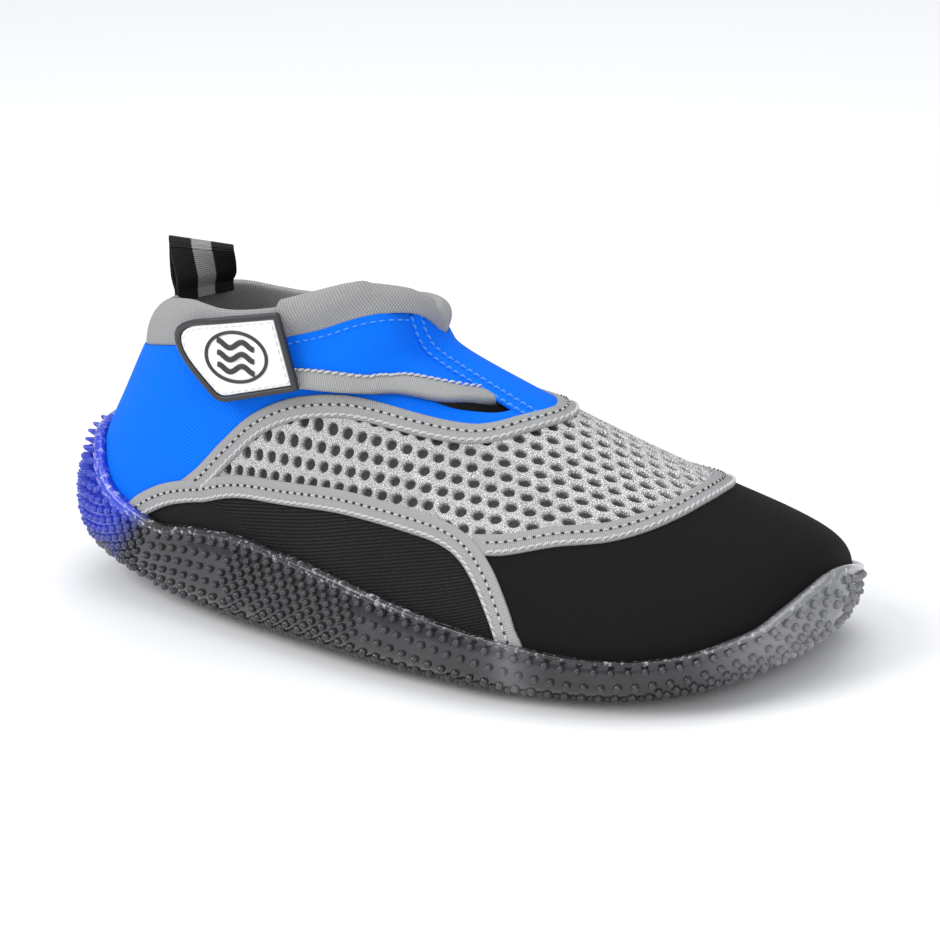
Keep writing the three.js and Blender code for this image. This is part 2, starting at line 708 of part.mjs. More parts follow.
add('loop_patch', panel(loopPatchShape(), layerGap, layerGap + hookThickness), 'hookAndLoop')
add('hook_patch', panel(hookShape(), hookBase, badgeBase - layerGap), 'hookAndLoop')
add('badge', badge(), 'whiteRubber')
add('badge_rim', badgeRim(), 'blackRubber')
add('emblem_ring', emblemRing(), 'blackRubber')
for (const [i, height] of [-waveSpacing, 0, waveSpacing].entries()) {
  add(`emblem_wave_${i + 1}`, emblemWave(height), 'blackRubber')
}
add('pull_loop', pullLoop(), 'webbing')

// The origin is the middle of the footprint, on the ground.
const size = new THREE.Box3().setFromObject(shoe)
const middle = size.getCenter(new THREE.Vector3())
for (const mesh of shoe.children) mesh.geometry.translate(-middle.x, -middle.y, -size.min.z)

export default shoe
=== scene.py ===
import math

import bpy
import numpy as np
from mathutils import Matrix, Vector


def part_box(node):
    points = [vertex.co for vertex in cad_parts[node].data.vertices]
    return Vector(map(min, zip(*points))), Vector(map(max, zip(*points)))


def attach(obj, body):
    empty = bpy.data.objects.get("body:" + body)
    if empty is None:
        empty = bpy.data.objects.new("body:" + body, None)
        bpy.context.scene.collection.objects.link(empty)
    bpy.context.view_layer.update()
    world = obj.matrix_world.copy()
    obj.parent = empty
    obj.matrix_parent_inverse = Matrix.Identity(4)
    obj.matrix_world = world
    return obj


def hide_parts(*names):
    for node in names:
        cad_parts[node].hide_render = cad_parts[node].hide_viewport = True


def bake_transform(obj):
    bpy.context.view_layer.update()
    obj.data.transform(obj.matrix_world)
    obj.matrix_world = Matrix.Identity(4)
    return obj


# A low-cut water shoe for the right foot. Sizes are in millimetres until a mesh is made, and
# places on the shoe are given on the surface of its last: station counts the sections from the
# toe, and turn goes round a section in degrees, from the sole's centre over the outer side (90)
# to the instep ridge (180) and on over the inner side.

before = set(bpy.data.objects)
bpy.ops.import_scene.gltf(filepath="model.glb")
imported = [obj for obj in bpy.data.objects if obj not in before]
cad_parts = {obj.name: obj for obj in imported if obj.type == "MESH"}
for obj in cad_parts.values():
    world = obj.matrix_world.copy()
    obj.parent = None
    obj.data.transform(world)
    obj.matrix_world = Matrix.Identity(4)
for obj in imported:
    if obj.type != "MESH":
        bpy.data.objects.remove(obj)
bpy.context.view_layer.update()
millimetre = 0.001
rng = np.random.default_rng(7)

# What the layers are made to, in millimetres
cloth = {
    "panel": 2.4,        # neoprene
    "mesh": 1.3,         # air mesh
    "tape": 0.85,        # woven binding tape, proud of the panels
    "tapeWidth": 6.6,
    "edgeRoll": 0.7,     # radius of a cut panel edge
    "pitch": 1.7,        # spacing of a panel's grid
}

# The last's surface

# Bottom x, z, top x, z, half width, place of the widest line, squareness below it, narrowing
# above it, and how far the bottom and the top stand to the inner side
sections = np.array([
    [111, 21, 111, 21, 0, 0.46, 2.2, 0, 13, 13],
    [106, 12.8, 106, 33, 18.5, 0.45, 2.4, 0.1, 12, 12.5],
    [101, 9.2, 99, 38.8, 32, 0.41, 3, 0.16, 11, 11],
    [91, 6.2, 83, 45.2, 42.2, 0.34, 3.9, 0.23, 7.5, 9.5],
    [70, 4.2, 61.5, 52.7, 47.5, 0.29, 4.4, 0.28, 0.5, 8.5],
    [38, 4, 38, 61.2, 47.5, 0.27, 4.6, 0.28, -6, 8],
    [2, 4, 15, 70.3, 43.5, 0.27, 4.6, 0.28, -9, 7.5],
    [-33, 4, -7, 80.3, 38.8, 0.29, 4.4, 0.28, -9, 6],
    [-67, 4, -12, 85.5, 36, 0.33, 4, 0.2, -6.5, 5.5],
    [-99, 6, -14, 93.8, 34.1, 0.37, 3.4, 0.05, -3.2, 5],
    [-126.5, 14.6, -18.5, 103.2, 32.3, 0.4, 2.7, 0, -0.5, 4.3],
    [-127.5, 36.2, -19.5, 109.7, 30.9, 0.43, 2.1, 0, 1, 3.8],
    [-118.5, 56.8, -20.5, 115.5, 29, 0.46, 2, 0, 2, 3.6],
    [-107.5, 77, -21.5, 121.5, 27.5, 0.48, 2, 0, 2.5, 3.5],
    [-94, 95, -23, 128.5, 26.5, 0.48, 2, 0, 2, 3.3],
], float)
beforeToe = sections[1][[2, 3, 0, 1, 4, 5, 6, 7, 9, 8]] * [1, 1, 1, 1, -1, 1, 1, 1, 1, 1]
table = np.vstack([beforeToe, sections, 2 * sections[-1] - sections[-2]])


def catmullRom(a, b, c, d, t):
    slope = c - a
    bend = 2 * a - 5 * b + 4 * c - d
    twist = 3 * b - a - 3 * c + d
    return 0.5 * (2 * b + slope * t + bend * t * t + twist * t ** 3)


def surface(station, turn):
    turn = np.where(station < 0, turn + 180, turn)
    place = np.clip(np.abs(station), 0, len(table) - 3 - 1e-9)
    row = np.floor(place).astype(int)
    rows = catmullRom(*(table[row + k] for k in range(4)), (place - row)[..., None])
    bottomX, bottomZ, topX, topZ, half, widest, square, narrow, bottomY, topY = np.moveaxis(rows, -1, 0)
    c = np.cos(np.radians(turn))
    s = np.sin(np.radians(turn))
    reach = (np.abs(c) ** square + np.abs(s) ** square) ** (-1 / square)
    side = np.where(c > 0, -half * reach * s, -half * s * (1 - narrow * c * c))
    rise = np.where(c > 0, widest - widest * reach * c, widest - (1 - widest) * c)
    return np.stack([
        bottomX + (topX - bottomX) * rise,
        bottomY + (topY - bottomY) * rise + side,
        bottomZ + (topZ - bottomZ) * rise,
    ], -1)


def unit(vectors):
    return vectors / np.maximum(np.linalg.norm(vectors, axis=-1, keepdims=True), 1e-12)


def slopes(station, turn):
    alongIt = (surface(station + 0.005, turn) - surface(station - 0.005, turn)) / 0.01
    roundIt = (surface(station, turn + 0.1) - surface(station, turn - 0.1)) / 0.2
    return alongIt, roundIt


def normal(station, turn):
    turn = np.where(station < 0, turn + 180, turn)
    alongIt, roundIt = slopes(np.maximum(np.abs(station), 0.03), turn)
    return unit(np.cross(roundIt, alongIt))


def offsetPoints(places, offset):
    station, turn = np.moveaxis(np.asarray(places, float), -1, 0)
    return surface(station, turn) + normal(station, turn) * np.asarray(offset, float)[..., None]


def at(place, offset=0.0):
    return offsetPoints(np.array(place, float), np.array(offset))


# Lines on the last

def smoothLine(points):
    points = np.array(points, float)
    extended = np.vstack([2 * points[0] - points[1], points, 2 * points[-1] - points[-2]])
    share = np.arange(8)[:, None] / 8
    parts = [catmullRom(*extended[i - 1:i + 3, None], share) for i in range(1, len(extended) - 2)]
    return np.vstack([*parts, points[-1]])


def lengthsAlong(line):
    points = surface(line[:, 0], line[:, 1])
    return np.concatenate([[0], np.cumsum(np.linalg.norm(np.diff(points, axis=0), axis=1))])


def placeAt(line, share):
    lengths = lengthsAlong(line)
    goal = np.clip(share, 0, 1) * lengths[-1]
    return np.stack([np.interp(goal, lengths, line[:, k]) for k in range(2)], -1)


def stepped(places, step):
    alongIt, roundIt = slopes(places[..., 0], places[..., 1])
    both = (alongIt * roundIt).sum(-1)
    alongSquare = (alongIt ** 2).sum(-1)
    roundSquare = (roundIt ** 2).sum(-1)
    area = alongSquare * roundSquare - both * both
    onAlong = (step * alongIt).sum(-1)
    onRound = (step * roundIt).sum(-1)
    stations = (onAlong * roundSquare - onRound * both) / area
    turns = (onRound * alongSquare - onAlong * both) / area
    return places + np.stack([stations, turns], -1)


def sidewaysOf(line):
    points = surface(line[:, 0], line[:, 1])
    index = np.arange(len(line))
    way = points[np.minimum(index + 1, len(line) - 1)] - points[np.maximum(index - 1, 0)]
    return unit(np.cross(normal(line[:, 0], line[:, 1]), way))


# A line beside another, reached in equal parts where the last bends sharply between them
def shifted(line, distance, parts=1):
    for _ in range(parts):
        line = stepped(line, sidewaysOf(line) * distance / parts)
    return line


def nearestOn(line, place):
    gaps = np.linalg.norm(surface(line[:, 0], line[:, 1]) - at(place), axis=1)
    return int(np.argmin(gaps))


def upTo(line, place):
    return line[:nearestOn(line, place) + 1]


def startingAt(line, place):
    return line[nearestOn(line, place):]


def mirrored(line, middle=360):
    return line * [1, -1] + [0, middle]


def overRidge(line):
    return np.vstack([line, mirrored(line)[::-1][1:]])


soleRim = smoothLine([
    [11.5, 0], [11.4, 18], [11.15, 36], [10.7, 51], [10.2, 61], [9.7, 66], [9.2, 69], [8.8, 77], [8, 88],
    [7, 91.5], [5.8, 91], [5, 88], [4.3, 83], [3.4, 80], [2.3, 84], [1.5, 92], [0.95, 110], [0.7, 140],
    [0.62, 180]])
soleCentre = smoothLine([
    [11.5, 0], [10.8, 0], [10.2, 0], [9.6, 0], [9, 0], [7, 0], [5, 0], [3, 0], [2, 0], [1.2, 0], [0.5, 0],
    [0, 0], [-0.3, 0], [-0.62, 0]])
feather = smoothLine([
    [10.35, 0], [10.2, 20], [9.8, 32], [9, 37], [7.5, 36], [5.5, 34], [4.5, 33], [3, 34], [1.8, 36],
    [1.1, 22], [1, 0]])
featherCentre = smoothLine([[10.35, 0], [10, 0], [9, 0], [7, 0], [5, 0], [3, 0], [2, 0], [1, 0]])
collarRimOuter = smoothLine([
    [11.25, 127], [11.7, 116], [12.3, 99], [12.85, 82], [13.2, 66], [13.35, 45], [13.38, 20], [13.4, 0]])
collarRimInner = smoothLine([
    [13.4, 0], [13.36, -20], [13.05, -45], [12.5, -69], [11.85, -91], [11.2, -112], [10.6, -131],
    [9.95, -149], [9.35, -164], [8.95, -176], [8.9, -186], [9, -191.5]])
quarterSeam = smoothLine([
    [9.55, 66], [9.5, 72], [9.35, 84], [9.3, 93], [9.33, 102], [9.3, 112], [8.95, 122], [8.1, 132],
    [6.9, 138], [6.25, 144], [5.9, 151], [5.65, 162], [5.5, 172], [5.45, 180]])
sideSeam = smoothLine([
    [9.62, 62], [9.6, 70], [9.45, 80], [9.1, 91], [8.7, 98], [8, 104], [7.4, 108], [6.7, 112],
    [6.2, 114.5], [5.8, 115.5], [5.5, 114], [5.25, 109.5], [5.05, 103], [4.88, 94], [4.78, 82],
    [4.72, 60], [4.7, 34]])
toeSeam = smoothLine([
    [5.45, 116], [5.1, 120], [4.65, 128], [4.15, 136], [3.8, 146], [3.58, 158], [3.48, 170], [3.45, 180]])
slitEdge = smoothLine([
    [10.4, 126], [9.7, 138], [8.6, 145], [7.2, 148.5], [6.55, 150.5], [6.2, 155.5], [6, 160.5], [5.9, 166]])
flapLow = smoothLine([
    [9.75, 116], [9.3, 124], [8.6, 132], [7.9, 138.5], [7, 145.5], [6.55, 150.5], [6.27, 158], [6.1, 166]])
flapHigh = smoothLine([[10.9, 116], [10.5, 127], [10, 138], [9.67, 149], [9.3, 159.5], [9.05, 166]])
flapRim = smoothLine([[12.1, 114], [11.75, 122], [11.4, 134], [11.05, 145], [10.75, 152.5]])
badgeLow = smoothLine([
    [12.1, 80.5], [11.5, 89.5], [10.9, 98.5], [10.4, 105.5], [10.05, 109.5], [9.75, 113.5], [9.15, 125]])
collarLowFront = smoothLine([[8.1, -163], [7.75, -173], [8.05, -179], [8.7, -186], [9.1, -191.5]])

meshTip = [9.37, 83]
sideTip = [9.8, 32]
slitTop = [10.4, 126]
flapApex = [6.35, 166]
vampSeamTurn = 168.5
collarWidth = 14
bindingWidth = 5.5


def clipped(line, keep):
    return line[keep(line[:, 1])]


collarLowOuter = np.vstack([
    slitTop, clipped(shifted(collarRimOuter, collarWidth), lambda turn: turn < slitTop[1] - 2)])
collarLowInner = np.vstack([
    clipped(shifted(collarRimInner, collarWidth), lambda turn: turn > collarLowFront[0][1] + 5),
    collarLowFront])
bindingHigh = np.vstack([
    clipped(shifted(flapLow, bindingWidth), lambda turn: turn < flapApex[1] - 1), flapApex])
quarterLow = np.vstack([
    upTo(feather, sideTip), upTo(sideSeam, meshTip), startingAt(quarterSeam, meshTip)[1:]])

# The solids stand with the footprint's middle on the origin: the pull loop's solid says how far
# that is from the last's own origin.
loop = {"inset": 5, "shift": 3, "clearance": 1.6, "height": 14, "gap": 3.4, "neck": 3.2,
        "webbing": 1.2, "width": 19, "lean": 1.0, "move": (0.5, 2.0, 1.6), "twist": (24, 56), "tilt": 0.2}
loopLow, loopHigh = (np.array(corner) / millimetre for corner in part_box("pull_loop"))
loopRoot = (loopLow + loopHigh) / 2 * [1, 1, 0] + loopLow * [0, 0, 1]
origin = loopRoot - at([13.4, 0]) - [loop["inset"], loop["shift"], loop["clearance"]]
print("lines laid out")

# Grids between two lines

rollSteps = np.array([0, 0.08, 0.3, 0.62, 1.0])


def steps(length, roll, count):
    length = np.asarray(length, float)[..., None]
    near = rollSteps * np.minimum(roll, length / 2.5)
    middle = near[..., -1:] + (length - 2 * near[..., -1:]) * np.linspace(0, 1, count + 2)[1:-1]
    return np.concatenate([near, middle, length - near[..., ::-1]], -1)


def between(a, b, t):
    return a + (b - a) * t


def acrossToe(a, b, t):
    flatA, flatB = (
        np.stack([p[..., 0] * np.cos(np.radians(p[..., 1])), p[..., 0] * np.sin(np.radians(p[..., 1]))], -1)
        for p in (a, b))
    flat = between(flatA, flatB, t)
    x, y = np.moveaxis(flat, -1, 0)
    return np.stack([np.hypot(x, y), np.degrees(np.arctan2(y, x))], -1)


def distance(a, b):
    return np.linalg.norm(surface(a[..., 0], a[..., 1]) - surface(b[..., 0], b[..., 1]), axis=-1)


# A grid of places, with the distances along (u) and across (v) and to the nearest edge
def panelGrid(low, high, pitch=cloth["pitch"], roll=cloth["edgeRoll"], trim=(0.1, 0.1), ends=(0.1, 0.1),
              way=between):
    length = max(lengthsAlong(low)[-1], lengthsAlong(high)[-1])
    reach = length - ends[0] - ends[1]
    u = steps(reach, roll, int(reach / pitch))
    share = (ends[0] + u) / length
    a = placeAt(low, share)
    b = placeAt(high, share)
    width = distance(a, b)
    clear = np.maximum(width - trim[0] - trim[1], 0.05)
    v = steps(clear, roll, int(clear.max() / pitch) + 1)
    t = (trim[0] + v) / np.maximum(width, 0.1)[:, None]
    places = way(a[:, None], b[:, None], t[..., None])
    along = np.broadcast_to(u[:, None], v.shape)
    edge = np.minimum(np.minimum(v, clear[:, None] - v), np.minimum(along, reach - along))
    return {"places": places, "u": along, "v": v, "edge": edge,
            "clear": np.broadcast_to(clear[:, None], v.shape), "length": reach}


def rolled(edge, radius):
    near = 1 - np.clip(edge / radius, 0, 1)
    return radius * (1 - np.sqrt(1 - near * near))


def smoothstep(x, low, high):
    t = np.clip((x - low) / (high - low), 0, 1)
    return t * t * (3 - 2 * t)


# Meshes

# A mesh that rides a body, when it is given one
def addMesh(name, points, faces, material, body, replaced=(), slot=None, lay=None, fields=None):
    mesh = bpy.data.meshes.new(name)
    points = np.asarray(points, float)
    mesh.from_pydata(((points + origin) * millimetre).tolist(), [], faces)
    mesh.validate()
    if lay is not None:
        data = mesh.attributes.new("lay", "FLOAT_VECTOR", "POINT").data
        data.foreach_set("vector", (np.asarray(lay, float) * millimetre).ravel())
    for field, values in (fields or {}).items():
        values = np.asarray(values, float)
        kind = "FLOAT" if values.ndim == 1 else "FLOAT_COLOR"
        data = mesh.attributes.new(field, kind, "POINT").data
        data.foreach_set("value" if values.ndim == 1 else "color", values.ravel())
    mesh.polygons.foreach_set("use_smooth", np.ones(len(mesh.polygons), bool))
    mesh.materials.append(material)
    piece = bpy.data.objects.new(name, mesh)
    bpy.context.scene.collection.objects.link(piece)
    if body:
        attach(piece, body)
    if replaced:
        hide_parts(*replaced)
    return piece


def gridFaces(rows, columns, closed=False):
    index = np.arange(rows * columns).reshape(rows, columns)
    if closed:
        index = np.vstack([index, index[:1]])
    return np.stack([index[:-1, :-1], index[:-1, 1:], index[1:, 1:], index[1:, :-1]], -1).reshape(-1, 4)


def rimFaces(rows, columns, closed=False):
    index = np.arange(rows * columns).reshape(rows, columns)
    sides = [(index[:, 0], False), (index[:, -1], True)]
    if closed:
        sides = [(np.append(line, line[0]), flip) for line, flip in sides]
    else:
        sides += [(index[0], True), (index[-1], False)]
    faces = []
    for line, flip in sides:
        top = np.stack([line[:-1], line[1:]], -1)
        inner = top + rows * columns
        quad = np.stack([top[:, 0], top[:, 1], inner[:, 1], inner[:, 0]], -1)
        faces.append(quad[:, ::-1] if flip else quad)
    return np.vstack(faces)


def outward(points, faces):
    a, b, c = (points[faces[:, k]] for k in range(3))
    d = points[faces[:, 3]]
    volume = (a * np.cross(b, c)).sum() + (a * np.cross(c, d)).sum()
    return faces if volume > 0 else faces[:, ::-1]


# A closed mesh between an outer and an inner layer of points, with the cloth's own u and v
def addLayers(name, layers, u, v, material, body, closed=False, fields=None, **options):
    rows, columns = layers[0].shape[:2]
    points = np.vstack([layer.reshape(-1, 3) for layer in layers])
    skin = gridFaces(rows, columns, closed)
    faces = np.vstack([skin, skin[:, ::-1] + rows * columns, rimFaces(rows, columns, closed)])
    faces = outward(points, faces)
    u = np.broadcast_to(u, (rows, columns)).ravel()
    v = np.broadcast_to(v, (rows, columns)).ravel()
    lay = np.vstack([np.stack([u, v, np.full(u.shape, side)], -1) for side in (1.0, 0.0)])
    both = {}
    for field, values in (fields or {}).items():
        values = np.asarray(values, float)
        flat = values.reshape(rows * columns, *values.shape[2:])
        both[field] = np.concatenate([flat, flat])
    return addMesh(name, points, faces.tolist(), material, body, lay=lay, fields=both, **options)


def addShell(name, grid, inside, outside, material, body, floor=None, **options):
    places = grid["places"]
    layers = []
    for offset in (outside, inside):
        layer = offsetPoints(places, np.broadcast_to(offset, places.shape[:2]))
        if floor is not None:
            layer[..., 2] = np.maximum(layer[..., 2], floor)
        layers.append(layer)
    return addLayers(name, layers, grid["u"], grid["v"], material, body, **options)


# Copies of one small shape, set along, across and out at each centre
def addScatter(name, shape, centres, alongs, outs, scales, material, body, slot, fields=None):
    points, faces = shape
    outs = unit(outs)
    alongs = unit(alongs - outs * (alongs * outs).sum(-1, keepdims=True))
    acrosses = np.cross(outs, alongs)
    axes = np.stack([alongs, acrosses, outs], 1)
    placed = centres[:, None] + np.einsum("pk,nk,nkj->npj", points, scales, axes)
    count = len(points)
    allFaces = [[corner + n * count for corner in face] for n in range(len(centres)) for face in faces]
    repeated = {field: np.repeat(values, count, axis=0) for field, values in (fields or {}).items()}
    lay = np.broadcast_to(points, (len(centres), count, 3)).reshape(-1, 3)
    return addMesh(name, placed.reshape(-1, 3), allFaces, material, body, slot=slot, lay=lay, fields=repeated)


def turnedShape(profile, sides):
    angles = np.arange(sides) * 2 * math.pi / sides
    points = [[r * math.cos(a), r * math.sin(a), z] for r, z in profile for a in angles]
    faces = []
    for ring in range(len(profile) - 1):
        for k in range(sides):
            m = (k + 1) % sides
            faces.append([ring * sides + k, ring * sides + m, (ring + 1) * sides + m, (ring + 1) * sides + k])
    faces.append([(len(profile) - 1) * sides + k for k in range(sides)])
    faces.append(list(range(sides))[::-1])
    return np.array(points), faces


# A stitch of unit length and width: a thread that dips into the cloth at both ends
def stitchShape(sides=6):
    stations = [(-0.52, 0.25, -0.55), (-0.42, 0.8, -0.1), (-0.15, 1, 0.3), (0.15, 1, 0.3), (0.42, 0.8, -0.1),
                (0.52, 0.25, -0.55)]
    points = []
    for x, thick, lift in stations:
        for k in range(sides):
            angle = 2 * math.pi * k / sides
            points.append([x, 0.5 * thick * math.cos(angle), 0.5 * thick * math.sin(angle) + lift])
    faces = []
    for ring in range(len(stations) - 1):
        for k in range(sides):
            m = (k + 1) % sides
            faces.append([ring * sides + k, (ring + 1) * sides + k, (ring + 1) * sides + m, ring * sides + m])
    faces.append(list(range(sides)))
    faces.append([(len(stations) - 1) * sides + k for k in range(sides)][::-1])
    return np.array(points), faces


thread = stitchShape()


# Stitches along lines: spacing, length, width and jitter in millimetres, slant in degrees
def stitchRows(name, rows, material, body, slot, pitch, length, width, slant=0.0, jitter=0.06, phase=0.5):
    centres, alongs, outs = [], [], []
    for line, offset in rows:
        total = lengthsAlong(line)[-1]
        count = max(int(total / pitch), 1)
        goal = (np.arange(count) + phase) * total / count + rng.normal(0, jitter, count)
        places = placeAt(line, goal / total)
        ahead = placeAt(line, (goal + 0.5) / total)
        behind = placeAt(line, (goal - 0.5) / total)
        out = normal(places[:, 0], places[:, 1])
        way = unit(surface(ahead[:, 0], ahead[:, 1]) - surface(behind[:, 0], behind[:, 1]))
        side = np.cross(out, way)
        height = offset(places) if callable(offset) else np.full(count, offset)
        centres.append(offsetPoints(places, height))
        alongs.append(way + side * math.tan(math.radians(slant)))
        outs.append(out)
    centres = np.vstack(centres)
    scales = np.tile([length, width, width], (len(centres), 1)) * rng.uniform(0.93, 1.07, (len(centres), 1))
    return addScatter(name, thread, centres, np.vstack(alongs), np.vstack(outs), scales, material, body, slot)


# Materials. Scales are real sizes in millimetres: thread and rib spacings, holes and grit.

def hexColour(code):
    parts = [int(code[k:k + 2], 16) / 255 for k in (1, 3, 5)]
    return [p / 12.92 if p <= 0.04045 else ((p + 0.055) / 1.055) ** 2.4 for p in parts] + [1.0]


# One node with its settings. An input may be a number, a colour or another node's output.
def addNode(tree, kind, output=0, inputs=None, **settings):
    node = tree.nodes.new("ShaderNode" + kind)
    for key, value in settings.items():
        setattr(node, key, value)
    for key, value in (inputs or {}).items():
        if isinstance(value, bpy.types.NodeSocket):
            tree.links.new(value, node.inputs[key])
        else:
            node.inputs[key].default_value = value
    return node.outputs[output]


# Inputs of a noise with blotches of the given size
def grain(vector, size, detail=3.0, roughness=0.55):
    return {"Vector": vector, "Scale": 1 / (size * millimetre), "Detail": detail, "Roughness": roughness}


# Settings that several nodes share: a value scaled, shifted and kept from 0 to 1; a product; and
# a mix of colours
scaled = {"operation": "MULTIPLY_ADD", "use_clamp": True}
times = {"operation": "MULTIPLY"}
inColour = {"data_type": "RGBA"}


def newMaterial(name, roughness, **values):
    material = bpy.data.materials.new(name)
    material.use_nodes = True
    tree = material.node_tree
    shader = tree.nodes["Principled BSDF"]
    shader.inputs["Roughness"].default_value = roughness
    for key, value in values.items():
        shader.inputs[key].default_value = value
    return material, tree, shader


# The colour and the relief of a finish, put into its shader
def finish(tree, shader, colour, height, depth, strength):
    values = {"Height": height, "Distance": depth * millimetre, "Strength": strength}
    tree.links.new(addNode(tree, "Bump", 0, values), shader.inputs["Normal"])
    tree.links.new(colour, shader.inputs["Base Color"])


# Ribs across the given direction: 0 in a valley, 1 on a rib
def ribs(tree, vector, size, angle, wobble):
    turned = addNode(tree, "Mapping", 0, {"Vector": vector, "Rotation": (0, 0, math.radians(angle))})
    scale = math.pi / 10 / (size * millimetre)      # a wave of scale 1 has ribs pi / 10 apart
    values = {"Vector": turned, "Scale": scale, "Distortion": wobble, "Detail": 1.0}
    return addNode(tree, "TexWave", 0, values, bands_direction="X")


# Neoprene foam faced with a fine jersey: matt, even colour over diagonal stitches of knit. The
# stitches are drawn coarser than the real 0.4 mm so that they show. Its back is black.
def neoprene(name, face, deep, rib, depth, angle):
    material, tree, shader = newMaterial(name, 0.85, **{"Specular IOR Level": 0.14})
    lay = addNode(tree, "Attribute", "Vector", attribute_name="lay")
    place = addNode(tree, "TexCoord", "Object")
    knit = ribs(tree, lay, rib, angle, 0.6)
    fleck = addNode(tree, "TexNoise", 0, grain(lay, 0.9, 2.0))
    cloud = addNode(tree, "TexNoise", 0, grain(place, 38, 2.0))
    weave = addNode(tree, "Math", 0, {0: knit, 1: fleck}, **times)
    lit = addNode(tree, "Math", 0, {0: weave, 1: 1.9, 2: 0.0}, **scaled)
    worn = addNode(tree, "Math", 0, {0: cloud, 1: 0.5, 2: -0.1}, **scaled)
    shade = addNode(tree, "Mix", 2, {0: lit, 6: hexColour(deep), 7: hexColour(face)}, **inColour)
    shade = addNode(tree, "Mix", 2, {0: worn, 6: shade, 7: hexColour(deep)}, **inColour)
    side = addNode(tree, "SeparateXYZ", "Z", {0: lay})
    outer = addNode(tree, "Math", 0, {0: side, 1: 0.5 * millimetre}, operation="GREATER_THAN")
    shade = addNode(tree, "Mix", 2, {0: outer, 6: hexColour("#17181B"), 7: shade}, **inColour)
    finish(tree, shader, shade, weave, depth, 0.7)
    return material


# Rib knit over foam: loops of yarn where two diagonals cross, which give a soft grain
def ribKnit(name, face, deep, size, depth):
    material, tree, shader = newMaterial(name, 0.85, **{"Specular IOR Level": 0.25, "Sheen Weight": 0.05})
    lay = addNode(tree, "Attribute", "Vector", attribute_name="lay")
    place = addNode(tree, "TexCoord", "Object")
    one = ribs(tree, lay, size, 33, 0.4)
    two = ribs(tree, lay, size, -33, 0.4)
    loops = addNode(tree, "Math", 0, {0: one, 1: two}, **times)
    cloud = addNode(tree, "TexNoise", 0, grain(place, 22))
    lit = addNode(tree, "Math", 0, {0: loops, 1: 1.3, 2: 0.1}, **scaled)
    worn = addNode(tree, "Math", 0, {0: cloud, 1: 0.35, 2: 0.0}, **scaled)
    shade = addNode(tree, "Mix", 2, {0: lit, 6: hexColour(deep), 7: hexColour(face)}, **inColour)
    shade = addNode(tree, "Mix", 2, {0: worn, 6: shade, 7: hexColour(deep)}, **inColour)
    finish(tree, shader, shade, loops, depth, 0.8)
    return material


# Woven polyester tape: ribs of weft across it with a dull shine, and a stripe woven into webbing
def wovenTape(name, face, deep, stripe=None):
    material, tree, shader = newMaterial(name, 0.68, **{"Specular IOR Level": 0.3})
    lay = addNode(tree, "Attribute", "Vector", attribute_name="lay")
    weft = ribs(tree, lay, 0.62, 8, 0.5)
    fibre = addNode(tree, "TexNoise", 0, grain(lay, 0.35, 2.0))
    lit = addNode(tree, "Math", 0, {0: weft, 1: 0.8, 2: 0.2}, **scaled)
    worn = addNode(tree, "Math", 0, {0: fibre, 1: 0.35, 2: 0.0}, **scaled)
    shade = addNode(tree, "Mix", 2, {0: lit, 6: hexColour(deep), 7: hexColour(face)}, **inColour)
    shade = addNode(tree, "Mix", 2, {0: worn, 6: shade, 7: hexColour(deep)}, **inColour)
    if stripe:
        across = addNode(tree, "SeparateXYZ", "Y", {0: lay})
        off = addNode(tree, "Math", 0, {0: across, 1: stripe["middle"] * millimetre}, operation="SUBTRACT")
        away = addNode(tree, "Math", 0, {0: off}, operation="ABSOLUTE")
        rough = addNode(tree, "Math", 0, {0: weft, 1: 0.25 * millimetre}, **times)
        edge = addNode(tree, "Math", 0, {0: away, 1: rough}, operation="ADD")
        inside = addNode(tree, "Math", 0, {0: edge, 1: stripe["half"] * millimetre}, operation="LESS_THAN")
        shade = addNode(tree, "Mix", 2, {0: inside, 6: shade, 7: hexColour(stripe["colour"])}, **inColour)
    finish(tree, shader, shade, weft, 0.16, 0.8)
    return material


# Knitted air mesh: light, loopy yarn round holes whose floors show the dark net under them, deepened by
# painted shade
def knittedMesh(name, yarn, shadow, hole):
    material, tree, shader = newMaterial(name, 0.8, **{"Specular IOR Level": 0.3})
    lay = addNode(tree, "Attribute", "Vector", attribute_name="lay")
    pit = addNode(tree, "Attribute", "Fac", attribute_name="pit")
    strands = addNode(tree, "TexNoise", 0, grain(lay, 0.42, 2.0, 0.7))
    cells = {"Vector": lay, "Scale": 1 / (0.62 * millimetre)}
    loops = addNode(tree, "TexVoronoi", "Distance", cells, feature="DISTANCE_TO_EDGE")
    loops = addNode(tree, "Math", 0, {0: loops, 1: 2.6, 2: 0.0}, **scaled)
    relief = addNode(tree, "Math", 0, {0: loops, 1: strands}, **times)
    lit = addNode(tree, "Math", 0, {0: relief, 1: 3.2, 2: 0.0}, **scaled)
    shade = addNode(tree, "Mix", 2, {0: lit, 6: hexColour(shadow), 7: hexColour(yarn)}, **inColour)
    # Hole floors: net strands over a near-black, partly the net's own colour and partly painted shade
    crossed = addNode(tree, "Math", 0, {0: strands, 1: 0.6, 2: 0.0}, **scaled)
    net = addNode(tree, "Mix", 2, {0: crossed, 6: hexColour(hole), 7: hexColour(shadow)}, **inColour)
    shade = addNode(tree, "Mix", 2, {0: pit, 6: shade, 7: net}, **inColour)
    finish(tree, shader, shade, relief, 0.3, 0.9)
    return material
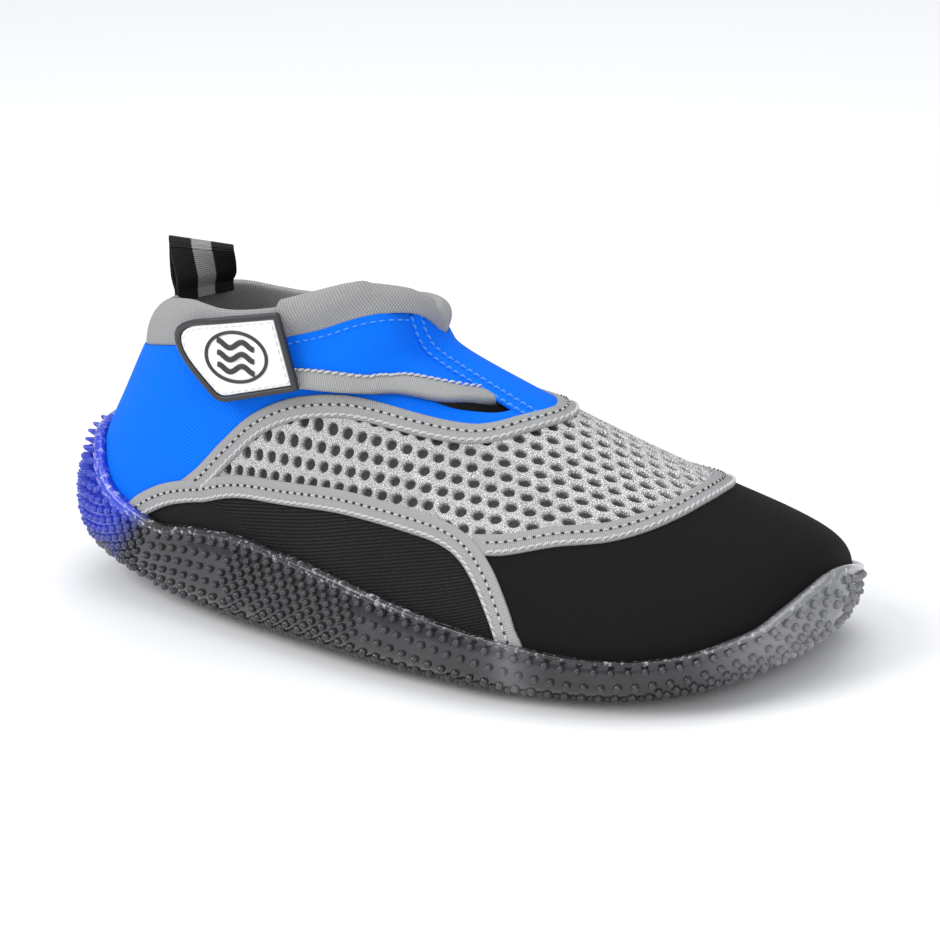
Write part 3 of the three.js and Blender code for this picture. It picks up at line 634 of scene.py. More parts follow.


# Clear soft rubber, moulded: glossy, and what lies behind the wall shows through as a soft tint.
# The rim is rippled where the upper was pressed into it, and its ripples carry a painted highlight.
def clearRubber(name, roughness, transmission, milkAndHighlight):
    values = {"Transmission Weight": transmission, "IOR": 1.45, "Coat Weight": 0.35}
    material, tree, shader = newMaterial(name, roughness, **values)
    behind = addNode(tree, "Attribute", "Color", attribute_name="behind")
    rim = addNode(tree, "Attribute", "Fac", attribute_name="rim")
    place = addNode(tree, "TexCoord", "Object")
    cloud = addNode(tree, "TexNoise", 0, grain(place, 7))
    ripple = addNode(tree, "TexNoise", 0, grain(place, 1.6))
    # A milky cloud lightens the rubber: its own cloudiness, and on the nubs partly a painted highlight
    milk = addNode(tree, "Math", 0, {0: cloud, 1: milkAndHighlight, 2: 0.0}, **scaled)
    shade = addNode(tree, "Mix", 2, {0: milk, 6: behind, 7: hexColour("#A9AAAE")}, **inColour)
    # Painted highlight: near the rim, the ripple crests are mixed towards a light grey
    crest = addNode(tree, "Math", 0, {0: ripple, 1: 7.0, 2: -3.9}, **scaled)
    glint = addNode(tree, "Math", 0, {0: crest, 1: rim}, **times)
    glint = addNode(tree, "Math", 0, {0: glint, 1: 0.75, 2: 0.0}, **scaled)
    shade = addNode(tree, "Mix", 2, {0: glint, 6: shade, 7: hexColour("#D9DADF")}, **inColour)
    swell = addNode(tree, "Math", 0, {0: rim, 1: 0.8, 2: 0.2}, **scaled)
    wavy = addNode(tree, "Math", 0, {0: ripple, 1: swell}, **times)
    finish(tree, shader, shade, wavy, 0.4, 0.6)
    return material


# Moulded rubber: a satin skin with a faint grain and a little dust in it
def mouldedRubber(name, colour, dust, roughness):
    material, tree, shader = newMaterial(name, roughness)
    place = addNode(tree, "TexCoord", "Object")
    skin = addNode(tree, "TexNoise", 0, grain(place, 0.5))
    cloud = addNode(tree, "TexNoise", 0, grain(place, 9, 2.0))
    dusty = addNode(tree, "Math", 0, {0: cloud, 1: 0.35, 2: 0.0}, **scaled)
    shade = addNode(tree, "Mix", 2, {0: dusty, 6: hexColour(colour), 7: hexColour(dust)}, **inColour)
    finish(tree, shader, shade, skin, 0.04, 0.6)
    return material


# Loose or pressed fibres: a soft pile that hides any gloss
def fibrous(name, face, deep, size, depth):
    material, tree, shader = newMaterial(name, 0.95, **{"Sheen Weight": 0.25})
    place = addNode(tree, "TexCoord", "Object")
    strands = addNode(tree, "TexNoise", 0, grain(place, size, 4.0, 0.7))
    tufts = addNode(tree, "Math", 0, {0: strands, 1: 2.4, 2: -0.7}, **scaled)
    shade = addNode(tree, "Mix", 2, {0: tufts, 6: hexColour(deep), 7: hexColour(face)}, **inColour)
    finish(tree, shader, shade, strands, depth, 1.0)
    return material


# Twisted polyester thread: a slanting ply along each stitch, with a slight shine
def twistedThread(name, face, deep):
    material, tree, shader = newMaterial(name, 0.55)
    lay = addNode(tree, "Attribute", "Vector", attribute_name="lay")
    twist = ribs(tree, lay, 0.28, 55, 0.2)
    lit = addNode(tree, "Math", 0, {0: twist, 1: 0.7, 2: 0.3}, **scaled)
    shade = addNode(tree, "Mix", 2, {0: lit, 6: hexColour(deep), 7: hexColour(face)}, **inColour)
    tree.links.new(shade, shader.inputs["Base Color"])
    return material


# Blue jersey: bright and matt. The toe's black jersey is plain, and the side panels' is ribbed
# down the shoe and a little lighter.
blueNeoprene = neoprene("jersey_neoprene_blue", "#007AFF", "#0064E4", 0.7, 0.1, -38)
toeNeoprene = neoprene("jersey_neoprene_black", "#19191A", "#101011", 0.8, 0.1, 8)
sideNeoprene = neoprene("ribbed_neoprene_black", "#2C2C2D", "#101011", 0.75, 0.16, 78)
# Light grey cloth: a soft, grainy collar, flat ribbed tapes, and near-white mesh over a dark net, with
# painted shade in its holes
greyKnit = ribKnit("rib_knit_neoprene_grey", "#BDBDBD", "#848484", 0.72, 0.18)
greyTape = wovenTape("woven_binding_tape_grey", "#B4B4B4", "#868686")
airMesh = knittedMesh("knitted_air_mesh", "#F4F4F4", "#6C6C6C", "#202020")
darkNet = fibrous("dark_lining_net", "#3A3A3B", "#181818", 0.6, 0.1)
# Clear rubber looks dark where cloth lies behind it. Its nubs are glossier, and a painted highlight
# makes them milkier. The badge's white and black rubber is satin.
clearSole = clearRubber("clear_moulded_rubber", 0.14, 0.12, 0.1)
nubRubber = clearRubber("clear_moulded_rubber_nubs", 0.08, 0.25, 0.18)
whiteRubber = mouldedRubber("moulded_rubber_white", "#F7F7F7", "#ECECEA", 0.38)
blackRubber = mouldedRubber("moulded_rubber_black", "#333435", "#242425", 0.4)
# The fastener's pile is a fuzzy blue, and the pull loop's webbing is near black with a grey stripe.
hookLoop = fibrous("hook_and_loop_blue", "#3A57C8", "#1B2F86", 0.5, 0.5)
loopWebbing = wovenTape("woven_webbing_black", "#0E0E0E", "#040404",
                        {"middle": loop["width"] / 2, "half": 3.0, "colour": "#8B8B8B"})
# Thread is lighter than the cloth it is in, and each needle hole is a dark dot.
greyThread = twistedThread("twisted_thread_grey", "#DADADA", "#8C8C8C")
blueThread = twistedThread("twisted_thread_blue", "#4AA4FF", "#0550B8")
whiteThread = twistedThread("twisted_thread_white", "#F2F2F2", "#BDBDBD")
needleHole = fibrous("needle_hole_shadow", "#2B2B2C", "#1C1C1D", 0.4, 0.05)
# Inside: a dark, soft insole on a pale board
insoleCloth = fibrous("brushed_insole_cloth", "#4A4B50", "#26272B", 0.9, 0.2)
fibreBoard = fibrous("pressed_fibre_board", "#BDB8AC", "#9C968A", 0.7, 0.1)
print("materials made")


# Neoprene panels

def addPanel(name, grid, material, body, replaced):
    outside = -rolled(grid["edge"], cloth["edgeRoll"])
    panel = addShell(name, grid, -cloth["panel"], outside, material, body, replaced=[replaced])


def quarterPanels():
    highOuter = np.vstack([collarLowOuter[::-1], slitEdge[1:]])
    outer = panelGrid(upTo(quarterLow, [5.6, 166]), highOuter)
    addPanel("quarter_outer_skin", outer, blueNeoprene, "shoe", "quarter_outer")
    pastRidge = clipped(startingAt(quarterSeam[::-1], [5.45, 180]), lambda turn: turn > vampSeamTurn)
    low = np.vstack([mirrored(quarterLow, 0), pastRidge[1:] - [0, 360]])
    inner = panelGrid(low, collarLowInner)
    addPanel("quarter_inner_skin", inner, blueNeoprene, "shoe", "quarter_inner")


def sidePanels():
    low = upTo(startingAt(feather, sideTip), sideSeam[-1])
    ends = (0.1, 4)
    outer = panelGrid(low, sideSeam, ends=ends)
    inner = panelGrid(mirrored(low), mirrored(sideSeam), ends=ends)
    addPanel("side_panel_outer_skin", outer, sideNeoprene, "shoe", "side_panel_outer")
    addPanel("side_panel_inner_skin", inner, sideNeoprene, "shoe", "side_panel_inner")


def toeBox():
    lowSide = startingAt(feather, sideSeam[-1])
    low = np.vstack([lowSide, mirrored(lowSide, 0)[::-1][1:]])
    sideFront = startingAt(sideSeam, toeSeam[0])[::-1]
    high = overRidge(np.vstack([sideFront, toeSeam]))
    grid = panelGrid(low, high, ends=(5, 5), way=acrossToe)
    addPanel("toe_box_skin", grid, toeNeoprene, "shoe", "toe_box")


quarterPanels()
sidePanels()
toeBox()
print("panels made")

# Air mesh vamp

airHoles = {"pitchAlong": 5.0, "pitchAcross": 4.5, "half": (1.6, 1.4), "depth": 1.3, "edge": 0.36,
            "pitch": 0.45, "axis": (5, 20), "radius": 43, "stretch": 0.0015}


def meshGrid(pitch, roll):
    low = np.vstack([meshTip, upTo(startingAt(sideSeam, meshTip), toeSeam[0]), toeSeam])
    high = startingAt(quarterSeam, meshTip)
    return panelGrid(overRidge(low), overRidge(high), pitch=pitch, roll=roll, ends=(4, 4))


# The knit's own measures at places on the last: along the shoe, drawn out towards the toe where
# the cloth is stretched most, and round an axis that runs inside the shoe
def knitMeasures(places):
    x, y, z = np.moveaxis(surface(places[..., 0], places[..., 1]), -1, 0)
    way = np.arctan2(airHoles["axis"][0] - y, z - airHoles["axis"][1])
    return x - airHoles["stretch"] * x * x, way * airHoles["radius"]


def airMeshPanel():
    grid = meshGrid(airHoles["pitch"], 0.3)
    along, across = knitMeasures(grid["places"])
    row = np.round(across / airHoles["pitchAcross"])
    shift = np.where(row % 2 == 0, 0.0, 0.5)
    column = np.round(along / airHoles["pitchAlong"] - shift)
    du = along - (column + shift) * airHoles["pitchAlong"]
    dv = across - row * airHoles["pitchAcross"]
    reach = np.hypot(du / airHoles["half"][0], dv / airHoles["half"][1])
    # The pit mask sinks the holes, and the mesh's material paints their floors dark with painted shade
    pit = 1 - smoothstep(reach, 1 - airHoles["edge"] / 2, 1 + airHoles["edge"] / 2)
    pit = pit * smoothstep(grid["edge"], 0.6, 1.4)
    yarn = 0.12 * np.sin(along * 7.3) * np.sin(across * 6.1 + along * 1.7)
    outside = 0.05 - airHoles["depth"] * pit + yarn * (1 - pit)
    knit = addShell("mesh_panel_knit", grid, -cloth["mesh"] - 0.2, outside, airMesh, "shoe",
                    fields={"pit": pit}, replaced=["mesh_panel"])
    net = meshGrid(2.0, 0.3)
    backing = addShell("mesh_backing_net", net, -2.4, -1.8, darkNet, "shoe", replaced=["mesh_backing"])


airMeshPanel()
print("air mesh made")

# Binding tapes and their stitches

def tapeGrid(line):
    low = shifted(line, -cloth["tapeWidth"] / 2, 8)
    high = shifted(line, cloth["tapeWidth"] / 2, 8)
    return panelGrid(low, high, pitch=1.3, roll=0.5, trim=(0, 0), ends=(0, 0)), low, high


def tapeTop(grid):
    crown = 0.12 * np.sin(np.pi * grid["v"] / grid["clear"])
    pucker = 0.06 * np.sin(grid["u"] * 2 * np.pi / 2.4) * (1 - smoothstep(grid["edge"], 0, 2.2))
    return cloth["tape"] + crown + pucker - rolled(grid["edge"], 0.5)


# The mesh's and the toe's tapes end under the side tapes, which run down behind the sole.
sideTapeLine = upTo(startingAt(sideSeam, [9.62, 64]), [4.77, 80])
toeTapeLine = overRidge(toeSeam)
meshTapeLine = overRidge(startingAt(quarterSeam, [9.36, 83]))
# Rows of stitches, in millimetres from the tape's lower edge, and how the tapes overlap
tapeRows = {"chain": 0.9, "dash": 3.7, "over": 0.3, "under": 0.45, "tuckLength": 6.0}
tapeStitches = {
    "chain": {"pitch": 2.3, "length": 2.6, "width": 0.8, "slant": 16},
    "dash": {"pitch": 2.6, "length": 1.75, "width": 0.6},
    "hole": {"pitch": 2.6, "length": 1.0, "width": 0.75, "jitter": 0.0, "phase": 0.0},
}


def seamTapes():
    chains, dashes = [], []
    pieces = [
        ("mesh_tape_woven", meshTapeLine, "mesh_tape", 1),
        ("toe_tape_woven", toeTapeLine, "toe_tape", 1),
        ("side_tape_outer_woven", sideTapeLine, "side_tape_outer", 1),
        ("side_tape_inner_woven", mirrored(sideTapeLine), "side_tape_inner", -1),
    ]
    for name, line, node, way in pieces:
        grid, low, high = tapeGrid(line)
        onTop = node.startswith("side")
        ends = np.minimum(grid["u"], grid["length"] - grid["u"])
        under = tapeRows["under"] * (1 - smoothstep(ends, 2, tapeRows["tuckLength"]))
        lift = tapeRows["over"] if onTop else -under
        addShell(name, grid, -0.3, tapeTop(grid) + lift, greyTape, "shoe", replaced=[node])
        edge = low if way == 1 else high
        level = cloth["tape"] + (tapeRows["over"] if onTop else 0)
        middle = edge if onTop else upTo(startingAt(edge, placeAt(edge, 0.035)), placeAt(edge, 0.965))
        chains.append((shifted(middle, way * tapeRows["chain"], 3), level + 0.08))
        dashes.append((shifted(middle, way * tapeRows["dash"], 6), level + 0.14))
    for name, rows, material, kind in (("tape_chain_stitches", chains, greyThread, "chain"),
                                       ("tape_dash_stitches", dashes, greyThread, "dash"),
                                       ("tape_needle_holes", dashes, needleHole, "hole")):
        stitchRows(name, rows, material, "shoe", "grey_tape", **tapeStitches[kind])


seamTapes()
print("tapes made")

# Collar: a rolled band of neoprene faced with rib knit

collar = {"crown": 2.2, "inner": 1.9, "frontDrop": 0.45, "endRise": 0.55, "heelRise": 0.12, "end": 179,
          "strapCrown": 2.0, "strapInner": 1.2, "strapStart": 121}
# How far the strap's roll stands off the last: (turn, millimetres)
strapLift = [(121, 3.9), (152, 3.9), (166, 2.6), (174, 1.4), (184, 0.1)]
strap = {"rise": 1.4, "settle": 13, "bindingCrown": 0.9, "rollEnd": 158, "topInset": 2.4,
         "bindingStitches": {"pitch": 1.9, "length": 2.1, "width": 0.7, "slant": 20},
         "topStitches": {"pitch": 2.4, "length": 1.8, "width": 0.6}}


def collarOffsets(grid, crown, inner):
    share = grid["v"] / grid["clear"]
    swell = np.clip(np.sin(np.pi * share ** 1.25), 0, 1) ** 0.6
    outside = -0.5 + crown * swell
    inside = -inner * np.clip(np.sin(np.pi * (share + 1) / 2), 0, 1) ** 0.4 - 1.6
    return inside, outside


def collarBand():
    rim = np.vstack([collarRimOuter, collarRimInner[1:]])
    # The inner side's front end sits a little lower and further forward than the rim behind it.
    back = -rim[:, 1]
    front = smoothstep(back, 100, 145) * (1 - collar["endRise"] * smoothstep(back, 155, 178))
    heel = 1 - smoothstep(np.abs(back), 35, 85)
    lowered = collar["frontDrop"] * front - collar["heelRise"] * heel

    def ended(line):
        return clipped(line, lambda turn: turn > -collar["end"])

    high = ended(rim - np.stack([lowered, 0 * lowered], -1))
    low = ended(np.vstack([collarLowOuter, collarLowInner[1:]]))
    grid = panelGrid(low, high, pitch=1.4, roll=2.0, trim=(0, 0), ends=(0.4, 0.2))
    inside, outside = collarOffsets(grid, collar["crown"], collar["inner"])
    inside = np.minimum(inside, outside - 0.5)
    band = addShell("collar_band", grid, inside, outside, greyKnit, "shoe", replaced=["collar"])


# The strap's underside: down with the panels at its seam, and over them further on
def flapBase(turn):
    share = smoothstep(flapApex[1] - turn, 0, strap["settle"])
    return -cloth["panel"] + (strap["rise"] + cloth["panel"]) * share


def flapTop(places):
    return flapBase(places[..., 1]) + cloth["panel"]


# Pieces that cross the strap's fold ride neither body, and their placement is baked into the mesh.
def bendAtFold(piece):
    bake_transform(piece)


def strapFlap():
    grid = panelGrid(bindingHigh, flapHigh, pitch=1.4, ends=(0, 0))
    base = flapBase(grid["places"][..., 1])
    outside = base + cloth["panel"] - rolled(grid["edge"], cloth["edgeRoll"])
    skin = addShell("flap_skin", grid, base, outside, blueNeoprene, "flap", replaced=["flap"])
    grid = panelGrid(flapLow, bindingHigh, pitch=1.1, roll=0.8, trim=(0, -0.6), ends=(0, 0))
    base = flapBase(grid["places"][..., 1])
    crown = strap["bindingCrown"] * np.clip(np.sin(np.pi * grid["v"] / grid["clear"]), 0, 1) ** 0.6
    outside = base + cloth["panel"] + crown - rolled(grid["edge"], 0.8)
    addShell("flap_binding_tape", grid, base - 0.3, outside, greyTape, "flap", replaced=["flap_binding"])

    # The rolled edge runs on from the strap over the seam to the inner side, sinking towards the last there,
    # so it rides neither body.
    def startOf(line):
        within = clipped(line, lambda turn: (turn > collar["strapStart"]) & (turn < strap["rollEnd"]))
        return within[::6]

    low = smoothLine(np.vstack([startOf(flapHigh), [[9.03, 166], [8.55, 174], [7.95, 182]]]))
    high = smoothLine(np.vstack([
        startOf(flapRim), [[10.4, 156.5], [9.85, 164.5], [9.53, 171], [9.19, 177], [8.8, 182.5]]]))
    grid = panelGrid(low, high, pitch=1.2, roll=1.6, trim=(-0.4, 0), ends=(0, 0))
    inside, outside = collarOffsets(grid, collar["strapCrown"], collar["strapInner"])
    lift = np.interp(grid["places"][..., 1], *zip(*strapLift))
    inside = np.minimum(inside, outside - 0.5)
    band = addShell("flap_collar_band", grid, inside + lift, outside + lift, greyKnit, None,
                    replaced=["flap_collar"])
    bendAtFold(band)
    stitchRows("flap_binding_stitches", [(bindingHigh, lambda places: flapTop(places) + 0.75)], greyThread,
               "flap", "grey_tape", **strap["bindingStitches"])
    top = shifted(flapHigh, -strap["topInset"])
    stitchRows("flap_top_stitches", [(top, lambda places: flapTop(places) + 0.05)], blueThread,
               "flap", "blue_neoprene", **strap["topStitches"])


collarBand()
strapFlap()
print("collar and strap made")

# The seam where the strap joins the inner quarter: one strip of cloth under two rows of
# flatlock stitches, which ride neither the shoe nor the strap

seam = {"halfTurns": (-4.2, 2.6), "rise": 0.35, "rows": (-1.5, 1.5), "stations": (5.62, 8.95),
        "stitches": {"pitch": 2.3, "length": 2.0, "width": 0.8, "slant": 12}}


def flapSeam():
    stations = np.linspace(*seam["stations"], 24)
    low, high = (np.stack([stations, np.full(24, vampSeamTurn + turns)], -1) for turns in seam["halfTurns"])
    grid = panelGrid(low, high, pitch=0.8, roll=0.3, trim=(0, 0), ends=(0, 0))
    outside = seam["rise"] - rolled(grid["edge"], 0.3)
    strip = addShell("flap_seam_strip", grid, -1.6, outside, blueNeoprene, None, slot="blue_neoprene")
    middle = np.stack([stations, np.full(24, vampSeamTurn - 1.0)], -1)
    rows = [(shifted(middle, gap), seam["rise"] + 0.1) for gap in seam["rows"]]
    stitches = stitchRows("flatlock_stitches", rows, blueThread, None, "blue_neoprene", **seam["stitches"])
    bendAtFold(strip)
    bendAtFold(stitches)


flapSeam()
print("strap seam made")

# Closure tab: a moulded rubber badge on a hook patch

# Corners of the badge's face, across towards the toe and up, and the radius of each
badge = {"centre": [10.85, 110], "lift": 6.8, "out": (0.149, -0.985, 0.082), "bend": 84, "thickness": 1.2,
         "corners": [(-27, 8.2), (16.7, 15.3), (22.9, -6.8), (-2.6, -12.8)], "radii": (9, 1.2, 1.2, 6.5),
         "rim": 1.6, "rimRise": 0.5, "stitchInset": 2.7, "stitchPitch": 2.3, "stitch": (1.9, 0.5, 0.5),
         "patch": 3.2}
emblemSizes = {"centre": (3.3, 1.3), "radius": 7.7, "stretch": 1.36, "line": 1.0, "rise": 0.6, "wave": 3.5,
               "waveHeight": 0.95}

badgeOut = unit(np.array(badge["out"]))
badgeAcross = unit(np.cross([0, 0, 1.0], badgeOut))
badgeUp = np.cross(badgeOut, badgeAcross)


# Points on the badge, which bends back round the ankle behind its middle, and the ways out of it
def onBadge(across, up, height=0.0):
    across, up, height = np.broadcast_arrays(across, up, height)
    behind = np.minimum(across, 0)
    sink = behind ** 2 / badge["bend"]
    out = unit(badgeOut + badgeAcross * (2 * behind / badge["bend"])[..., None])
    start = at(badge["centre"], badge["lift"])
    flat = across[..., None] * badgeAcross + up[..., None] * badgeUp - sink[..., None] * badgeOut
    return start + flat + out * height[..., None], out


# The badge's outline drawn in by the given inset: straight sides and rounded corners
def badgeOutline(inset):
    corners = np.array(badge["corners"])
    way = unit(np.roll(corners, -1, 0) - corners)
    inward = np.stack([way[:, 1], -way[:, 0]], -1)
    points = []
    for k in range(4):
        before, after = way[k - 1], way[k]
        corner = corners[k] + (inward[k - 1] + inward[k]) * inset / (1 + inward[k - 1] @ inward[k])
        cosine = np.clip(before @ after, -1, 1)
        reach = max(badge["radii"][k] - inset, 0.3) * math.tan(math.acos(cosine) / 2)
        t = np.linspace(0, 1, 9)[:, None]
        points.append((1 - t) ** 2 * (corner - before * reach) + 2 * t * (1 - t) * corner
                      + t ** 2 * (corner + after * reach))
    filled = []
    for k in range(4):
        filled.append(points[k])
        filled.append(between(points[k][-1], points[(k + 1) % 4][0], np.linspace(0, 1, 20)[1:-1, None]))
    return np.vstack(filled)


# A plate built of rings, from the outermost in. A filled one closes on its middle.
def ringSection(name, insets, heights, bottom, material, body, replaced, filled=False):
    rings = np.stack([badgeOutline(inset) for inset in insets], 1)
    heights = np.array(heights, float)
    if filled:
        middle = rings[:, -1].mean(0)
        inner = [between(rings[:, -1], middle, share) for share in (0.35, 0.7, 0.995)]
        rings = np.concatenate([rings, np.stack(inner, 1)], 1)
        heights = np.append(heights, [heights[-1]] * 3)
    top, _ = onBadge(rings[..., 0], rings[..., 1], heights)
    under, _ = onBadge(rings[..., 0], rings[..., 1], bottom)
    return addLayers(name, [top, under], rings[..., 0], rings[..., 1], material, body, closed=True,
                     replaced=[replaced])


def closureTab():
    rim = badge["rim"]
    depth = -badge["thickness"]
    plate = [rim + 0.2, rim + 0.3, rim + 0.6, rim + 1.5, rim + 3, rim + 5]
    drop = [-0.5, -0.15, -0.03, 0, 0, 0]
    ringSection("badge_plate", plate, drop, depth, whiteRubber, "closure_tab", "badge", filled=True)
    across = [0, 0.1, 0.4, rim / 2, rim - 0.4, rim - 0.1, rim]
    drop = np.array([0.5, 0.2, 0.03, 0, 0.03, 0.2, 0.5])
    ringSection("badge_rim_moulded", across, badge["rimRise"] - drop, depth - 0.2, blackRubber, "closure_tab",
                "badge_rim")
    line = badgeOutline(badge["stitchInset"])
    line = np.vstack([line, line[:1]])
    lengths = np.concatenate([[0], np.cumsum(np.linalg.norm(np.diff(line, axis=0), axis=1))])
    goal = np.arange(0, lengths[-1], badge["stitchPitch"])

    def onLine(goal):
        across, up = (np.interp(goal % lengths[-1], lengths, line[:, k]) for k in range(2))
        return onBadge(across, up, 0.05)

    centres, outs = onLine(goal)
    alongs = onLine(goal + 0.5)[0] - centres
    scales = np.tile(badge["stitch"], (len(goal), 1))
    addScatter("badge_stitches", thread, centres, alongs, outs, scales, whiteThread, "closure_tab",
               "white_rubber")


# A moulded line with rounded shoulders, drawn along points on the badge
def raisedLine(name, across, up, halfLine, replaced, closed):
    points = np.stack([across + emblemSizes["centre"][0], up + emblemSizes["centre"][1]], -1)
    if closed:
        way = np.roll(points, -1, 0) - np.roll(points, 1, 0)
    else:
        way = np.gradient(points, axis=0)
    sideways = unit(np.stack([-way[:, 1], way[:, 0]], -1))
    shares = np.array([-1, -0.86, -0.5, 0, 0.5, 0.86, 1])
    spread = points[:, None] + sideways[:, None] * (shares * halfLine)[None, :, None]
    drop = np.array([0.45, 0.15, 0.03, 0, 0.03, 0.15, 0.45])
    top, _ = onBadge(spread[..., 0], spread[..., 1], emblemSizes["rise"] - drop)
    under, _ = onBadge(spread[..., 0], spread[..., 1], -0.2)
    addLayers(name, [top, under], spread[..., 0], spread[..., 1], blackRubber, "closure_tab", closed=closed,
              replaced=[replaced])


def emblem():
    radius = emblemSizes["radius"]
    half = emblemSizes["line"] / 2
    angle = np.arange(72) * 2 * math.pi / 72
    raisedLine("emblem_ring_moulded", (radius - half) * emblemSizes["stretch"] * np.cos(angle),
               (radius - half) * np.sin(angle), half, "emblem_ring", True)
    across = np.linspace(-1, 1, 40)
    for index, height in enumerate((-emblemSizes["wave"], 0, emblemSizes["wave"])):
        up = height + emblemSizes["waveHeight"] * np.sin(across * math.pi * 1.5)
        reach = radius * 0.56 * emblemSizes["stretch"]
        raisedLine(f"emblem_wave_{index + 1}_moulded", across * reach, up, half * 1.6,
                   f"emblem_wave_{index + 1}", False)


def gripPatches():
    def within(line):
        return clipped(line, lambda turn: (turn > 86) & (turn < 112))

    top = -badge["thickness"] - 0.05
    heights = [top - 0.4, top, top, top]
    ringSection("hook_patch_fuzz", [2.4, 2.6, 4, 6], heights, top - badge["patch"], hookLoop, "closure_tab",
                "hook_patch", filled=True)
    low = shifted(within(badgeLow), 2)
    high = shifted(within(collarLowOuter[::-1]), -2)
    pile = panelGrid(low, high, pitch=1.2, roll=0.4, trim=(0, 0), ends=(0, 0))
    addShell("loop_patch_pile", pile, 0, 1.5 - rolled(pile["edge"], 0.4), hookLoop, "shoe",
             replaced=["loop_patch"])


closureTab()
emblem()
gripPatches()
print("badge made")

# Pull loop: webbing folded over and sewn into the collar at the heel

def pullLoop():
    half = loop["gap"] / 2 + loop["webbing"] / 2
    bend = loop["height"] - half - loop["webbing"] / 2
    arc = np.linspace(0, math.pi, 17)
    neck = loop["neck"]
    side = [(0.7, -3.2), (0.72, -1.0), (0.85, 0.4), (half * 0.7, neck * 0.62), (half, neck + 1.2)]
    over = [(half * math.cos(a), bend + half * math.sin(a)) for a in arc]
    path = np.array(side + over + [(-x, z) for x, z in side[::-1]])
    fine = np.vstack([catmullRom(*(path[np.clip(i + k, 0, len(path) - 1)] for k in range(-1, 3)), t)
                      for i in range(len(path) - 1) for t in np.linspace(0, 1, 5)[:-1]] + [path[-1:]])
    way = np.gradient(fine, axis=0)
    sideways = unit(np.stack([way[:, 1], -way[:, 0]], -1))
    across = steps(loop["width"], 0.5, 14)
    travelled = np.concatenate([[0], np.cumsum(np.linalg.norm(np.diff(fine, axis=0), axis=1))])
    edge = np.minimum(across, loop["width"] - across)
    thick = loop["webbing"] / 2 - rolled(edge, 0.45) * 0.9
    ripple = 0.07 * np.sin(travelled * 2 * math.pi / 1.1)
    layers = []
    for sign in (1, -1):
        reach = sign * (thick[None] + ripple[:, None] * sign)
        x = fine[:, 0, None] + sideways[:, 0, None] * reach
        z = fine[:, 1, None] + sideways[:, 1, None] * reach
        y = np.broadcast_to(across - loop["width"] / 2, x.shape)
        # The loop has been pulled round to one side: it twists as it rises, and its fold is skewed.
        share = np.clip(z / loop["height"], 0, 1)
        turn = np.radians(between(*loop["twist"], share))
        forward = x + loop["lean"] * share
        c, s = np.cos(turn), np.sin(turn)
        twisted = [forward * c + y * s, y * c - forward * s, z - loop["tilt"] * y * share]
        layers.append(np.stack(twisted, -1).reshape(-1, 3))
    points = np.vstack(layers) + loopRoot - origin + loop["move"]
    rows, columns = len(fine), len(across)
    skin = gridFaces(rows, columns)
    faces = outward(points, np.vstack([skin, skin[:, ::-1] + rows * columns, rimFaces(rows, columns)]))
    lay = np.stack(np.broadcast_arrays(travelled[:, None], across[None], 1.0), -1).reshape(-1, 3)
    addMesh("pull_loop_webbing", points, faces.tolist(), loopWebbing, "pull_loop", replaced=["pull_loop"],
            lay=np.vstack([lay, lay]))


pullLoop()
print("pull loop made")

# Insole and board, in millimetres out from the last

insole = {"bottom": -7.0, "top": -3.0, "dish": 0.4, "roll": 1.6}
fibreboard = {"bottom": -1.4, "roll": 0.4}


# Places on an arc across the sole, from its edge through its middle to the other edge
def acrossSole(edge, middle, t):
    angle = np.radians(edge[..., 1])
    p = edge[..., 0] * np.cos(angle)
    q = edge[..., 0] * np.sin(angle)
    m = np.where(middle[..., 1] == 0, middle[..., 0], -middle[..., 0])
    flat = q < 1e-6
    safe = np.where(np.abs(p - m) < 1e-9, 1e-9, p - m)
    centre = (p * p + q * q - m * m) / (2 * safe)
    radius = np.abs(m - centre)
    way = np.sign(m - centre)
    spread = np.arctan2(q, way * (p - centre)) * (1 - 2 * t)
    x = centre + way * radius * np.cos(spread)
    y = radius * np.sin(spread)
    curved = np.stack([np.hypot(x, y), np.degrees(np.arctan2(y, x))], -1)
    return np.where(flat[..., None], np.broadcast_to(edge, curved.shape), curved)


def soleGrid(edgeLine, centreLine, pitch, ends, drawIn=0.0, roll=0.8):
    length = lengthsAlong(edgeLine)[-1]
    reach = length - ends[0] - ends[1]
    u = steps(reach, roll, int(reach / pitch))
    outer = placeAt(edgeLine, (ends[0] + u) / length)
    middle = placeAt(centreLine, (ends[0] + u) / length)
    trial = acrossSole(outer[:, None], middle[:, None], np.linspace(0, 1, 41)[None])
    points = surface(trial[..., 0], trial[..., 1])
    width = np.linalg.norm(np.diff(points, axis=1), axis=-1).sum(1)
    clear = np.maximum(width - 2 * drawIn, 0.05)
    v = steps(clear, roll, int(clear.max() / pitch))
    t = (drawIn + v) / width[:, None]
    places = acrossSole(outer[:, None], middle[:, None], t)
    along = np.broadcast_to(u[:, None], v.shape)
    edge = np.minimum(np.minimum(v, clear[:, None] - v), np.minimum(along, reach - along))
    return {"places": places, "u": along, "v": v, "edge": edge,
            "clear": np.broadcast_to(clear[:, None], v.shape), "length": reach}


def insolePad():
    grid = soleGrid(feather, featherCentre, 3.0, (4, 4), 1.0, insole["roll"])
    top = insole["top"] + insole["dish"] * smoothstep(grid["edge"], 2, 14)
    top = top - rolled(grid["edge"], insole["roll"])
    pad = addShell("insole_pad", grid, insole["bottom"], top, insoleCloth, "shoe", replaced=["insole"])
    board = soleGrid(feather, featherCentre, 4.0, (3, 3), 0.45, fibreboard["roll"])
    addShell("lasting_board_fibre", board, fibreboard["bottom"], -rolled(board["edge"], fibreboard["roll"]),
             fibreBoard, "shoe", replaced=["lasting_board"])


insolePad()
print("insole made")
